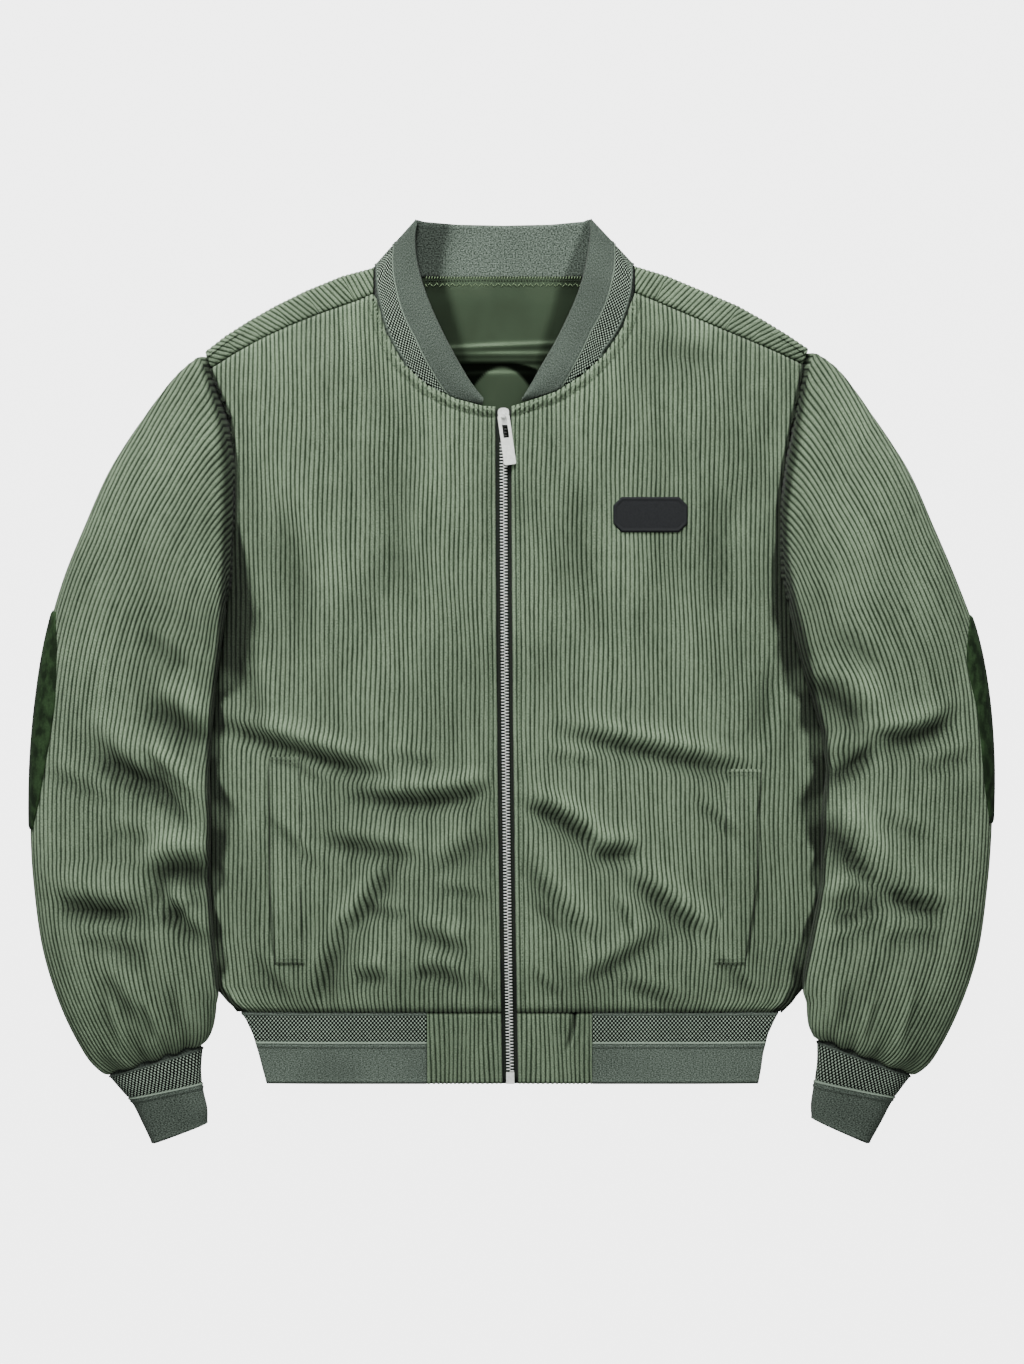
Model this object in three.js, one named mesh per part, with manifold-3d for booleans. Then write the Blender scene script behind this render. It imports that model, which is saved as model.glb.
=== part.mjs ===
import * as THREE from 'three';
import Module from 'manifold-3d';
import { mergeVertices } from 'three/addons/utils/BufferGeometryUtils.js';

// Wide-wale corduroy bomber jacket with a closed metal zip, laid flat on its back.
// Millimetres. +Z up, +Y towards the collar, +X towards the wearer's left side.
// The origin lies on the surface under the jacket, below the middle of its outline.

// Driving dimensions
const CLOTH = 1.8; // corduroy with its backing
const KNIT = 2.4; // rib knit of collar, cuffs and hem band
const SATIN = 1.0;
const SUEDE = 1.2;
const WELT = 1.5;
const SEAM_GAP = 0.35;
const STITCHED_GAP = 0.3; // between a panel and what is sewn on it
const PATCH_GAP = 0.85; // the same on the round edge of a sleeve
const CROWN = 18; // top of the fronts above the surface
const SIDE_RISE = 80; // how far in from the side seam the fronts reach their crown
const HEM_SEAM_Y = -271;
const HEM_END_Y = -330;
const HEM_RISE = 50;
const NECK_BACK_Y = 334;
const TOP_FALL = 45;
const ZIP_TOP_Y = 225;
const ZIP_HALF_GAP = 6.1; // from the zip's middle to the edge of each front
const CHAIN_WIDTH = 6.3;
const CHAIN_THICK = 3.0;
const RING_POINTS = 22;

const SIDES = { right: -1, left: 1 };
const COLOURS = {
  corduroy: { color: 0x808f7a, roughness: 0.95, metalness: 0 },
  knit: { color: 0x68736a, roughness: 0.95, metalness: 0 },
  satin: { color: 0x43513e, roughness: 0.45, metalness: 0 },
  suede: { color: 0x2d3b29, roughness: 0.9, metalness: 0 },
  tape: { color: 0x2b3629, roughness: 0.85, metalness: 0 },
  metal: { color: 0xc9cdc8, roughness: 0.3, metalness: 1 },
  badge: { color: 0x46494b, roughness: 0.6, metalness: 0 },
};

function table(columns, ...rows) {
  const names = columns.split(' ');
  return rows.map((row) => Object.fromEntries(names.map((name, i) => [name, row[i]])));
}

// Side edges of the body from the hem up, and the height of the cloth along them
const BODY_SIDE = table(
  'y right left rim',
  [-271, -224, 221, 5.6],
  [-262, -234, 231, 5.0],
  [-250, -240, 237, 4.4],
  [-211, -244, 244.5, 4.4],
  [-165, -247, 253.5, 4.4],
  [-110, -246.5, 254, 4.4],
  [-72, -247.5, 258, 4.4],
  [-40, -245.5, 254, 4.4],
  [0, -242, 242, 4.4],
  [30, -238, 234, 4.6],
  [66, -233, 226.5, 5.5],
  [100, -229.5, 221, 8],
  [140, -227, 219.8, 10.5],
  [180, -226.5, 223.8, 11],
  [218, -231, 231, 10.5],
  [258, -248, 239.5, 9],
);

// Each shoulder from the collar out: the fold at the top edge and the forward seam
const SHOULDER = {
  right: table(
    'foldX foldY seamX seamY',
    [-113.4, 340.7, -113.4, 319],
    [-139, 334, -128, 312.8],
    [-169, 321.8, -158, 302.4],
    [-194, 309.5, -182, 292.8],
    [-216, 297, -205, 282.4],
    [-235, 284.9, -226, 271],
    [-252, 271.5, -247, 258],
  ),
  left: table(
    'foldX foldY seamX seamY',
    [101.6, 342, 101.6, 319.6],
    [127.5, 334.1, 118, 313],
    [157, 321.8, 147, 300.6],
    [186, 309.5, 175, 289],
    [208, 297.2, 198, 279.6],
    [228, 284.9, 219, 270.8],
    [244, 274, 239, 261.5],
  ),
};
const SHOULDER_FOLD_RADIUS = 6;

// Collar bands from the top corner down to the zip: neck seam, free edge and heights
const COLLAR = {
  right: table(
    'seamX seamY freeX freeY seamZ freeZ',
    [-112.2, 341.5, -76, 379.5, 6.6, 6.6],
    [-111.6, 328, -78.3, 366, 11, 8],
    [-109.2, 313.6, -77.5, 350, 14, 10],
    [-102, 287, -73, 330, 15, 12],
    [-89, 264, -65.2, 308, 15.5, 13.5],
    [-68.6, 244.6, -52, 280, 16, 14.5],
    [-45.8, 233.4, -35.7, 251.3, 16.2, 15.5],
    [-24, 227.6, -22.5, 233, 16.2, 16.2],
  ),
  left: table(
    'seamX seamY freeX freeY seamZ freeZ',
    [100.4, 342, 62.7, 380, 6.6, 6.6],
    [99.8, 328, 64, 366, 11, 8],
    [97.2, 313, 61.5, 349, 14, 10],
    [89.6, 291.5, 57.5, 331, 15, 12],
    [75.8, 271, 50, 310, 15.5, 13.5],
    [57, 253, 36, 281, 16, 14.5],
    [35, 239.2, 22, 257, 16.2, 15.5],
    [9, 230.4, 10.4, 236, 16.2, 16.2],
  ),
};

// Neck seam of each front, from the zip to the corner with the forward shoulder seam
const NECK_SEAM = {
  right: table('x y', [-13, 226], [-24, 226.6], [-46, 232.5], [-69, 243.8], [-89.8, 263.6], [-103, 287], [-110, 313.4], [-113.4, 318.6]),
  left: table('x y', [0, 226.4], [10, 229.2], [36.5, 238.2], [58.6, 252.4], [77.3, 270.4], [91, 291], [98.4, 312.6], [101.6, 319.2]),
};

// Sleeves from the armhole to the cuff: outer edge, inner edge, height and the bow that
// bends a section towards the body
const SLEEVE = {
  right: table(
    'outerX outerY innerX innerY height bow',
    [-255.5, 264, -234.5, 66, 12, 18.5],
    [-277, 247, -236, 58, 24, 9],
    [-305, 212, -238, 48, 31, 3],
    [-329, 174, -240, 38, 34, 0],
    [-351, 125, -241.5, 26, 35, 0],
    [-368, 82, -243.5, 12, 35, 0],
    [-381, 35, -246, -12, 35, 0],
    [-389, -15, -248, -42, 35, 0],
    [-393.4, -66, -249.5, -77, 35, 0],
    [-394, -120, -248.5, -125, 35, 0],
    [-391.5, -165, -249.5, -170, 34, 0],
    [-384, -219, -246, -212, 33, 0],
    [-368.6, -268, -242, -252, 30, 0],
    [-349, -306, -245, -282, 23, 0],
    [-331.7, -322.5, -253, -298, 15, 0],
  ),
  left: table(
    'outerX outerY innerX innerY height bow',
    [248, 268.5, 228, 66, 12, 16.5],
    [270, 253, 229.5, 58, 24, 8],
    [298, 216, 232, 48, 31, 3],
    [325, 174, 235, 38, 34, 0],
    [347, 125, 239, 24, 35, 0],
    [366, 80, 244, 8, 35, 0],
    [381, 38, 250, -14, 35, 0],
    [390, -10, 257, -40, 36, 0],
    [394, -62, 262, -66, 36, 0],
    [393.5, -115, 256, -110, 35, 0],
    [390, -165, 255.5, -165, 34, 0],
    [382, -222, 247, -212, 33, 0],
    [366, -270, 242.5, -250, 30, 0],
    [346, -308, 244, -280, 23, 0],
    [329, -322.5, 250.5, -293, 15, 0],
  ),
};
const SLEEVE_STEPS_PER_ROW = 2;

const CUFF = {
  right: table(
    'outerX outerY innerX innerY height bow',
    [-331.4, -323.3, -253.2, -298.9, 16, 0],
    [-322, -334, -254.6, -318, 17, 0],
    [-312, -346, -253, -334, 16, 0],
    [-304, -362, -249.6, -350, 14, 0],
    [-295.6, -380, -249.7, -363, 12, 0],
  ),
  left: table(
    'outerX outerY innerX innerY height bow',
    [328.7, -323.3, 250.7, -293.9, 16, 0],
    [321, -333, 250.5, -313, 17, 0],
    [312.8, -345, 247.5, -333, 16, 0],
    [304, -362, 245.6, -347, 14, 0],
    [294, -380, 246.3, -359, 12, 0],
  ),
};

// How far each elbow patch shows inwards from the sleeve's outer edge, by sleeve row
const ELBOW_PATCH = table('row reach', [5.5, 4], [6, 11], [6.5, 15], [7, 17.5], [7.5, 16.5], [8, 14], [8.5, 10], [9, 4]);

const HEM_SIDE = table('y right left', [-271.4, -222.5, 219.5], [-277, -218.5, 216.5], [-289, -212.8, 211], [-305, -208, 207], [-318, -204.6, 205.2], [-330, -201.3, 202.9]);
const HEM_TAB_EDGE = { right: -69.3, left: 66 };
const HEM_TOP = 9.4;
const HEM_RIM = 5.4;
const TAB_THICK = 2.2;

const LINING = table('y right left', [333, -108, 97], [315, -106, 93], [300, -101, 87], [280, -93, 76], [260, -80, 58], [243, -60, 36], [228, -34, 12], [216, -24, 4]);

// Largest folds. Each runs from its first point to its second, with its ridge on the left
// of that way and its trough on the right.
const FOLDS = {
  right: table(
    'x0 y0 x1 y1 bow width depth',
    [-231, -38, -104, -77, 0, 9, 6.5],
    [-124, -94, -17, -88, -5, 9, 6],
    [-150, -130, -80, -143, 0, 9, 4],
    [-139, -207, -100, -151, -4, 9, 4.5],
    [-158, -266, -137, -210, 4, 9, 3.5],
    [-81, -203, -38, -220, 0, 9, 3.5],
    [-128, -241, -102, -241, 0, 8, 3],
    [-81, -240, -39, -250, 7, 8, 3],
    [-63, -154, -17, -126, 0, 10, 2.5],
  ),
  left: table(
    'x0 y0 x1 y1 bow width depth',
    [51, -43, 188, -73, 0, 9, 5.5],
    [14, -101, 70, -137, 5, 9, 6.5],
    [66, -141, 104, -139, 0, 9, 5],
    [102, -163, 160, -210, 0, 10, 5.5],
    [15, -147, 66, -210, -5, 10, 3.5],
    [62, -245, 125, -205, 0, 9, 3.5],
    [94, -248, 146, -268, 0, 8, 2.5],
    [112, 277, 168, 268, 0, 14, 1.5],
  ),
};
const SLEEVE_FOLDS = {
  right: table(
    'x0 y0 x1 y1 bow width depth',
    [-292, -18, -246, -50, 0, 13, 7],
    [-341, -47, -272, -100, 0, 13, 5],
    [-296, -60, -261, -120, 0, 9, 4],
    [-296, -158, -246, -156, 6, 14, 9],
    [-372, -176, -300, -190, 0, 13, 4],
    [-331, -240, -306, -276, 0, 10, 3],
  ),
  left: table(
    'x0 y0 x1 y1 bow width depth',
    [246, 0, 292, -36, 4, 13, 7],
    [256, -76, 290, -54, 0, 11, 5],
    [292, -50, 362, -27, -6, 12, 4.5],
    [254, -112, 296, -158, 0, 13, 8],
    [256, -186, 294, -170, 0, 11, 6],
    [300, -163, 352, -190, 0, 13, 4],
  ),
};

const clamp01 = (t) => Math.min(1, Math.max(0, t));
const mix = (a, b, t) => a + (b - a) * t;
const ease = (t) => Math.sin((clamp01(t) * Math.PI) / 2);
const bell = (t) => Math.exp(-t * t);
const vector = (x, y, z) => new THREE.Vector3(x, y, z);

// Value of a column where the key column has the given value, straight between rows
function read(rows, key, value, column) {
  const rising = rows[rows.length - 1][key] > rows[0][key] ? 1 : -1;
  let i = 1;
  while (i < rows.length - 1 && (rows[i][key] - value) * rising < 0) i += 1;
  const t = clamp01((value - rows[i - 1][key]) / (rows[i][key] - rows[i - 1][key]));
  return mix(rows[i - 1][column], rows[i][column], t);
}

// A row between table rows, on a smooth curve through them
function rowAt(rows, position) {
  const last = rows.length - 1;
  const i = Math.min(last - 1, Math.floor(position));
  const t = position - i;
  const [p, a, b, n] = [-1, 0, 1, 2].map((k) => rows[Math.min(last, Math.max(0, i + k))]);
  const blend = (c) => {
    const slopeA = (b[c] - p[c]) / 2;
    const slopeB = (n[c] - a[c]) / 2;
    const s = t * t * (3 - 2 * t);
    return mix(a[c], b[c], s) + slopeA * t * (1 - t) ** 2 - slopeB * t * t * (1 - t);
  };
  return Object.fromEntries(Object.keys(a).map((c) => [c, blend(c)]));
}

// Sum of the folds' ridges and troughs at a place in plan
function relief(folds, x, y) {
  return folds.reduce((sum, fold) => {
    const dx = fold.x1 - fold.x0;
    const dy = fold.y1 - fold.y0;
    const length = Math.hypot(dx, dy);
    const along = ((x - fold.x0) * dx + (y - fold.y0) * dy) / length ** 2;
    const arc = fold.bow * 4 * clamp01(along) * (1 - clamp01(along));
    const across = ((y - fold.y0) * dx - (x - fold.x0) * dy) / length - arc;
    const fade = Math.exp(-1.2 * ((2 * along - 1) / 1.05) ** 4);
    const ridge = 0.55 * bell((across - 1.1 * fold.width) / fold.width);
    const trough = bell((across + 0.2 * fold.width) / (0.9 * fold.width));
    return sum + fold.depth * fade * (ridge - trough);
  }, 0);
}

const zipX = (y) => -6.6 + 5.6 * clamp01((ZIP_TOP_Y - y) / 550) ** 1.8;
const bodyEdge = (side, y) => read(BODY_SIDE, 'y', y, side);

// Top boundary of a front: neck seam, then forward shoulder seam
function frontTop(side, x) {
  const neck = NECK_SEAM[side];
  const corner = neck[neck.length - 1].x;
  if (Math.abs(x) <= Math.abs(corner)) return read(neck, 'x', x, 'y');
  return read(SHOULDER[side], 'seamX', x, 'seamY') - SEAM_GAP;
}

// Outer face of the fronts above the surface, without folds
function frontRise(side, x, y) {
  const rim = read(BODY_SIDE, 'y', y, 'rim');
  const inwards = Math.abs(bodyEdge(side, y)) - Math.abs(x);
  const fromZip = x - zipX(y);
  const hem = mix(0.36, 1, ease((y - HEM_SEAM_Y) / HEM_RISE));
  const kept = mix(0.5, 0.8, bell(fromZip / 60));
  const top = mix(kept, 1, ease((frontTop(side, x) - y) / TOP_FALL));
  const dip = 1.6 * bell(fromZip / 18);
  return rim + (CROWN - rim) * ease(inwards / SIDE_RISE) * hem * top - dip;
}

function frontHeight(side, x, y) {
  const fromZip = Math.abs(x - zipX(y)) - ZIP_HALF_GAP;
  const fromSide = Math.abs(bodyEdge(side, y)) - Math.abs(x);
  const fade = ease(fromZip / 20) * ease(fromSide / 14) * ease((y - HEM_SEAM_Y) / 22);
  return frontRise(side, x, y) + relief(FOLDS[side], x, y) * fade;
}

// Height of the front edges and the hem tabs along the zip
function zipHeight(y) {
  const x = zipX(y) - ZIP_HALF_GAP;
  return y > HEM_SEAM_Y ? frontRise('right', x, y) : hemHeight('right', x, y);
}

// Mesh builders: every solid is a closed shell of triangles with its faces outwards
function solid(points, faces) {
  let volume = 0;
  for (let i = 0; i < faces.length; i += 3) {
    const [a, b, c] = [points[faces[i]], points[faces[i + 1]], points[faces[i + 2]]];
    volume += a.dot(b.clone().cross(c));
  }
  if (volume < 0) faces.reverse();
  const geometry = new THREE.BufferGeometry().setFromPoints(points);
  geometry.setIndex(faces);
  geometry.computeVertexNormals();
  return geometry;
}

// Grid moved along its own normals. A ring grid closes on itself across its columns.
function offsetGrid(grid, distance, ring = false) {
  const rows = grid.length;
  const columns = grid[0].length;
  const column = (j) => (ring ? (j + columns) % columns : Math.min(columns - 1, Math.max(0, j)));
  return grid.map((row, i) => row.map((point, j) => {
    const along = grid[Math.min(rows - 1, i + 1)][j].clone().sub(grid[Math.max(0, i - 1)][j]);
    const across = row[column(j + 1)].clone().sub(row[column(j - 1)]);
    return point.clone().addScaledVector(along.cross(across).normalize(), distance);
  }));
}

// Wall between an outer and an inner grid, closed round its borders
function wall(outer, inner, ring = false) {
  const rows = outer.length;
  const columns = outer[0].length;
  const points = [...outer.flat(), ...inner.flat()];
  const at = (layer, i, j) => (layer * rows + i) * columns + (j % columns);
  const faces = [];
  const quad = (a, b, c, d) => faces.push(a, b, c, a, c, d);
  const spans = ring ? columns : columns - 1;
  const lastRow = rows - 1;
  const lastColumn = columns - 1;
  for (let j = 0; j < spans; j += 1) {
    for (let i = 0; i < lastRow; i += 1) {
      quad(at(0, i, j), at(0, i, j + 1), at(0, i + 1, j + 1), at(0, i + 1, j));
      quad(at(1, i, j), at(1, i + 1, j), at(1, i + 1, j + 1), at(1, i, j + 1));
    }
    quad(at(0, 0, j + 1), at(0, 0, j), at(1, 0, j), at(1, 0, j + 1));
    quad(at(0, lastRow, j), at(0, lastRow, j + 1), at(1, lastRow, j + 1), at(1, lastRow, j));
  }
  for (let i = 0; i < lastRow && !ring; i += 1) {
    quad(at(0, i, 0), at(0, i + 1, 0), at(1, i + 1, 0), at(1, i, 0));
    quad(at(0, i + 1, lastColumn), at(0, i, lastColumn), at(1, i, lastColumn), at(1, i + 1, lastColumn));
  }
  return solid(points, faces);
}

// Sheet of cloth under a grid of points on its upper face
function sheet(grid, thickness) {
  const up = offsetGrid(grid, 1);
  const upwards = up.flat().reduce((sum, point, k) => sum + point.z - grid.flat()[k].z, 0);
  return wall(grid, offsetGrid(grid, -thickness * Math.sign(upwards)));
}

// Cloth sewn on a panel: the panel's own points, moved out
function applied(grid, gap, thickness) {
  const sign = Math.sign(offsetGrid(grid, 1).flat().reduce((sum, p, k) => sum + p.z - grid.flat()[k].z, 0));
  return wall(offsetGrid(grid, sign * (gap + thickness)), offsetGrid(grid, sign * gap));
}

// Solid bar through closed convex sections
function bar(sections) {
  const sides = sections[0].length;
  const faces = [];
  const last = (sections.length - 1) * sides;
  for (let i = 0; i < sections.length - 1; i += 1) {
    for (let j = 0; j < sides; j += 1) {
      const [a, b] = [i * sides + j, i * sides + ((j + 1) % sides)];
      faces.push(a, b, b + sides, a, b + sides, a + sides);
    }
  }
  for (let j = 1; j < sides - 1; j += 1) {
    faces.push(0, j + 1, j, last, last + j, last + j + 1);
  }
  return solid(sections.flat(), faces);
}

function flatPiece(outline, thickness) {
  const shape = new THREE.Shape(outline.map(([x, y]) => new THREE.Vector2(x, y)));
  return new THREE.ExtrudeGeometry(shape, { depth: thickness, bevelEnabled: false });
}

const group = new THREE.Group();

function add(name, geometry, finish, parent = group) {
  const mesh = new THREE.Mesh(geometry, new THREE.MeshStandardMaterial(COLOURS[finish]));
  mesh.name = name;
  parent.add(mesh);
  return mesh;
}

// Back: lies on the surface, from the hem seam to the neck and the shoulder turn-overs
function backOutline() {
  const rightSide = BODY_SIDE.map((row) => [row.right, row.y]);
  const leftSide = BODY_SIDE.map((row) => [row.left, row.y]).reverse();
  const seam = (side) => SHOULDER[side].map((row) => [row.seamX, row.seamY - SEAM_GAP]);
  const right = seam('right').reverse();
  const left = seam('left');
  const rightCorner = right[right.length - 1][0] + 2 * SEAM_GAP;
  const leftCorner = left[0][0] - 2 * SEAM_GAP;
  const neck = [[rightCorner, right[right.length - 1][1]], [rightCorner, NECK_BACK_Y], [leftCorner, NECK_BACK_Y], [leftCorner, left[0][1]]];
  return [...rightSide, ...right, ...neck, ...left, ...leftSide];
}
add('back_panel', flatPiece(backOutline(), CLOTH), 'corduroy');

// Fronts: columns run with the wales, closer together towards the neck's corner
const SHOULDER_COLUMNS = [0.1, 0.2, 0.32, 0.455, 0.55, 0.64, 0.77, 0.88, 1];
const NECK_COLUMNS = 8;
const POCKET_COLUMNS = [NECK_COLUMNS + 4, NECK_COLUMNS + 6];

// Rows are level and close together where the folds lie, and follow the top edge above
const FOLD_ROWS = 24;
const FOLD_TOP_Y = -31;
const CHEST_ROWS = 7;
const CHEST_TOP_Y = 190;
const TOP_ROWS = 6;
function rowHeights(topY) {
  const spread = (from, to, count) => Array.from({ length: count }, (_, i) => mix(from, to, i / count));
  return [
    ...spread(HEM_SEAM_Y, FOLD_TOP_Y, FOLD_ROWS),
    ...spread(FOLD_TOP_Y, CHEST_TOP_Y, CHEST_ROWS),
    ...spread(CHEST_TOP_Y, topY, TOP_ROWS),
    topY,
  ];
}

function frontGrid(side) {
  const sign = SIDES[side];
  const neck = NECK_SEAM[side];
  const edge = (y) => zipX(y) + sign * ZIP_HALF_GAP;
  const cornerRow = neck[neck.length - 1];
  const corner = (cornerRow.x - edge(cornerRow.y)) / (bodyEdge(side, 258) - edge(cornerRow.y));
  const neckShare = Array.from({ length: NECK_COLUMNS + 1 }, (_, k) => corner * ease(k / NECK_COLUMNS));
  const shares = [...neckShare, ...SHOULDER_COLUMNS.map((f) => corner + (1 - corner) * f)];
  const tops = shares.map((share) => {
    let y = 250;
    for (let pass = 0; pass < 12; pass += 1) {
      y = frontTop(side, mix(edge(y), bodyEdge(side, y), share));
    }
    return y;
  });
  const heights = tops.map(rowHeights);
  return heights[0].map((_, i) => shares.map((share, j) => {
    const y = heights[j][i];
    const x = mix(edge(y), bodyEdge(side, y), share);
    return vector(x, y, frontHeight(side, x, y));
  }));
}

const POCKET_ROWS = { right: [4, 21], left: [4, 20] };
const fronts = { right: frontGrid('right'), left: frontGrid('left') };
for (const side of Object.keys(SIDES)) {
  const grid = fronts[side];
  add(`front_${side}`, sheet(grid, CLOTH), 'corduroy');
  const [low, high] = POCKET_ROWS[side];
  const welt = grid.slice(low, high + 1).map((row) => row.slice(POCKET_COLUMNS[0], POCKET_COLUMNS[1] + 1));
  add(`pocket_welt_${side}`, applied(welt, STITCHED_GAP, WELT), 'corduroy');
}

// Shoulders: the back turns over the top edge to the forward seam
const TURN_STEPS = 6;
function shoulderGrid(side) {
  return SHOULDER[side].map((row) => {
    const fold = vector(row.foldX, row.foldY, 0);
    const seam = vector(row.seamX, row.seamY, 0);
    const run = seam.clone().sub(fold).normalize();
    const reach = seam.distanceTo(fold);
    const seamZ = frontHeight(side, row.seamX, row.seamY - SEAM_GAP);
    const at = (inwards, z) => fold.clone().addScaledVector(run, inwards).setZ(z);
    const radius = SHOULDER_FOLD_RADIUS;
    const turn = Array.from({ length: TURN_STEPS + 1 }, (_, k) => {
      const angle = (k / TURN_STEPS) * Math.PI;
      return at(radius * (1 - Math.sin(angle)), radius * (1 - Math.cos(angle)));
    });
    const top = [0.55, 0.8, 1].map((f) => at((reach - SEAM_GAP) * f, mix(2 * radius, seamZ, (f - 0.25) / 0.75)));
    return [at(reach - SEAM_GAP, 0), at(reach * 0.5, 0), ...turn, ...top];
  });
}
for (const side of Object.keys(SIDES)) {
  const grid = shoulderGrid(side);
  add(`shoulder_${side}`, wall(grid, offsetGrid(grid, SIDES[side] * CLOTH)), 'corduroy');
}

// Sleeves and cuffs: flattened rings, flat underneath, with their folds on top
const EQUATOR = 0.32; // height of a ring's widest place, as a share of its height
function ringAt(side, row, folds, clearOfBody) {
  const sign = SIDES[side];
  const outer = vector(row.outerX, row.outerY, 0);
  const inner = vector(row.innerX, row.innerY, 0);
  const equator = row.height * EQUATOR;
  return Array.from({ length: RING_POINTS }, (_, j) => {
    const angle = (2 * Math.PI * j) / RING_POINTS;
    const cosine = Math.cos(angle);
    const sine = Math.sin(angle);
    const share = 0.5 - 0.5 * Math.sign(cosine) * Math.abs(cosine) ** 0.8;
    const point = outer.clone().lerp(inner, share);
    point.x -= sign * row.bow * 4 * share * (1 - share);
    if (clearOfBody) {
      const limit = Math.abs(bodyEdge(side, point.y)) + 2 * SEAM_GAP;
      point.x = sign * Math.max(Math.abs(point.x), limit);
    }
    const lift = Math.abs(sine) ** 0.75;
    point.z = sine >= 0 ? mix(equator, row.height, lift) : equator * Math.max(0, 1 - 1.6 * lift);
    if (sine > 0) point.z += relief(folds, point.x, point.y) * ease(sine * 1.6) * ease(row.height / 30);
    return point;
  });
}

function tube(rings, thickness) {
  const inner = offsetGrid(rings, 1, true);
  const outwards = inner[2][0].distanceTo(rings[2][RING_POINTS / 2]) > rings[2][0].distanceTo(rings[2][RING_POINTS / 2]);
  return wall(rings, offsetGrid(rings, outwards ? -thickness : thickness, true), true);
}

const sleeves = {};
for (const side of Object.keys(SIDES)) {
  const steps = (SLEEVE[side].length - 1) * SLEEVE_STEPS_PER_ROW;
  sleeves[side] = Array.from({ length: steps + 1 }, (_, k) => (
    ringAt(side, rowAt(SLEEVE[side], k / SLEEVE_STEPS_PER_ROW), SLEEVE_FOLDS[side], true)
  ));
  add(`sleeve_${side}`, tube(sleeves[side], CLOTH), 'corduroy');
  const cuff = CUFF[side].map((row) => ringAt(side, row, [], false));
  add(`cuff_${side}`, tube(cuff, KNIT), 'knit');
}

// Elbow patches: made from the sleeve's rings, from under its outer edge up onto the top
// Its columns fall on the ring's own points, so that it lies on the sleeve all the way.
function patchGrid(side) {
  return ELBOW_PATCH.map(({ row, reach }) => {
    const ring = sleeves[side][row * SLEEVE_STEPS_PER_ROW];
    const pointAt = (index) => {
      const low = Math.floor(index);
      const wrap = (k) => ring[(k + RING_POINTS) % RING_POINTS];
      return wrap(low).clone().lerp(wrap(low + 1), index - low);
    };
    const inwards = (index) => Math.abs(ring[0].x) - Math.abs(pointAt(index).x);
    let top = 1.1;
    while (inwards(top) < reach) top += 0.05;
    return [-1, 0, 1, top > 2 ? 2 : mix(1, top, 0.5), top].map(pointAt);
  });
}
for (const side of Object.keys(SIDES)) {
  const grid = patchGrid(side);
  const sign = -SIDES[side];
  add(`elbow_patch_${side}`, wall(offsetGrid(grid, sign * (PATCH_GAP + SUEDE)), offsetGrid(grid, sign * PATCH_GAP)), 'suede');
}

// Hem band: a flat back stretch, two front stretches and the two corduroy tabs at the zip
const hemOutline = [...HEM_SIDE.map((row) => [row.right, row.y]), ...HEM_SIDE.map((row) => [row.left, row.y]).reverse()];
add('hem_back', flatPiece(hemOutline, KNIT), 'knit');

function hemHeight(side, x, y) {
  const inwards = Math.abs(read(HEM_SIDE, 'y', y, side)) - Math.abs(x);
  const down = clamp01((HEM_SEAM_Y - y) / (HEM_SEAM_Y - HEM_END_Y));
  const dip = 1.6 * bell((x - zipX(y)) / 18);
  return mix(HEM_RIM, HEM_TOP - down, ease(inwards / 60)) - dip;
}

function hemGrid(side, fromX, toX, columns, rows) {
  return Array.from({ length: rows + 1 }, (_, i) => {
    const y = mix(HEM_SEAM_Y - SEAM_GAP, HEM_END_Y, i / rows);
    return Array.from({ length: columns + 1 }, (__, j) => {
      const x = mix(fromX(y), toX(y), j / columns);
      return vector(x, y, hemHeight(side, x, y));
    });
  });
}
for (const side of Object.keys(SIDES)) {
  const tabEdge = () => HEM_TAB_EDGE[side];
  const bandEdge = () => HEM_TAB_EDGE[side] + SIDES[side] * SEAM_GAP;
  const sideEdge = (y) => read(HEM_SIDE, 'y', y, side);
  const zipEdge = (y) => zipX(y) + SIDES[side] * ZIP_HALF_GAP;
  add(`hem_${side}`, sheet(hemGrid(side, sideEdge, bandEdge, 10, 6), KNIT), 'knit');
  add(`hem_tab_${side}`, sheet(hemGrid(side, tabEdge, zipEdge, 6, 4), TAB_THICK), 'corduroy');
}

// Collar: the back stretch lies flat, the side bands turn over at its corners
const collarEnds = { right: [-104, -70], left: [92.5, 58] };
add('collar_back', flatPiece([
  [collarEnds.right[0], NECK_BACK_Y + SEAM_GAP],
  [collarEnds.left[0], NECK_BACK_Y + SEAM_GAP],
  [collarEnds.left[1], 377],
  [30, 374.6],
  [-6, 373.8],
  [-42, 374.6],
  [collarEnds.right[1], 377],
], KNIT), 'knit');

const BAND_COLUMNS = 4;
const BAND_SEAM_GAP = 0.65;
const BAND_CROWN = 2;
function bandGrid(side) {
  const steps = (COLLAR[side].length - 1) * 2;
  const rows = Array.from({ length: steps + 1 }, (_, k) => rowAt(COLLAR[side], k / 2));
  const section = (row, shift, lowered) => Array.from({ length: BAND_COLUMNS + 1 }, (_, j) => {
    const v = j / BAND_COLUMNS;
    const seam = vector(row.seamX, row.seamY, row.seamZ);
    const free = vector(row.freeX, row.freeY, row.freeZ);
    const gap = free.clone().sub(seam).setZ(0).setLength(BAND_SEAM_GAP);
    const point = seam.add(gap).lerp(free, v);
    point.z += BAND_CROWN * Math.sin(Math.PI * v) * (lowered ? 0 : 1);
    point.x += SIDES[side] * shift;
    point.y += shift;
    if (lowered) point.z = lowered;
    return point;
  });
  const turn = [section(rows[0], 0.4, 1.2), section(rows[0], 1.2, 3.4)];
  return [...turn, ...rows.map((row) => section(row, 0, 0))];
}
for (const side of Object.keys(SIDES)) {
  const grid = bandGrid(side);
  add(`collar_${side}`, sheet(grid, KNIT), 'knit');
}

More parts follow.
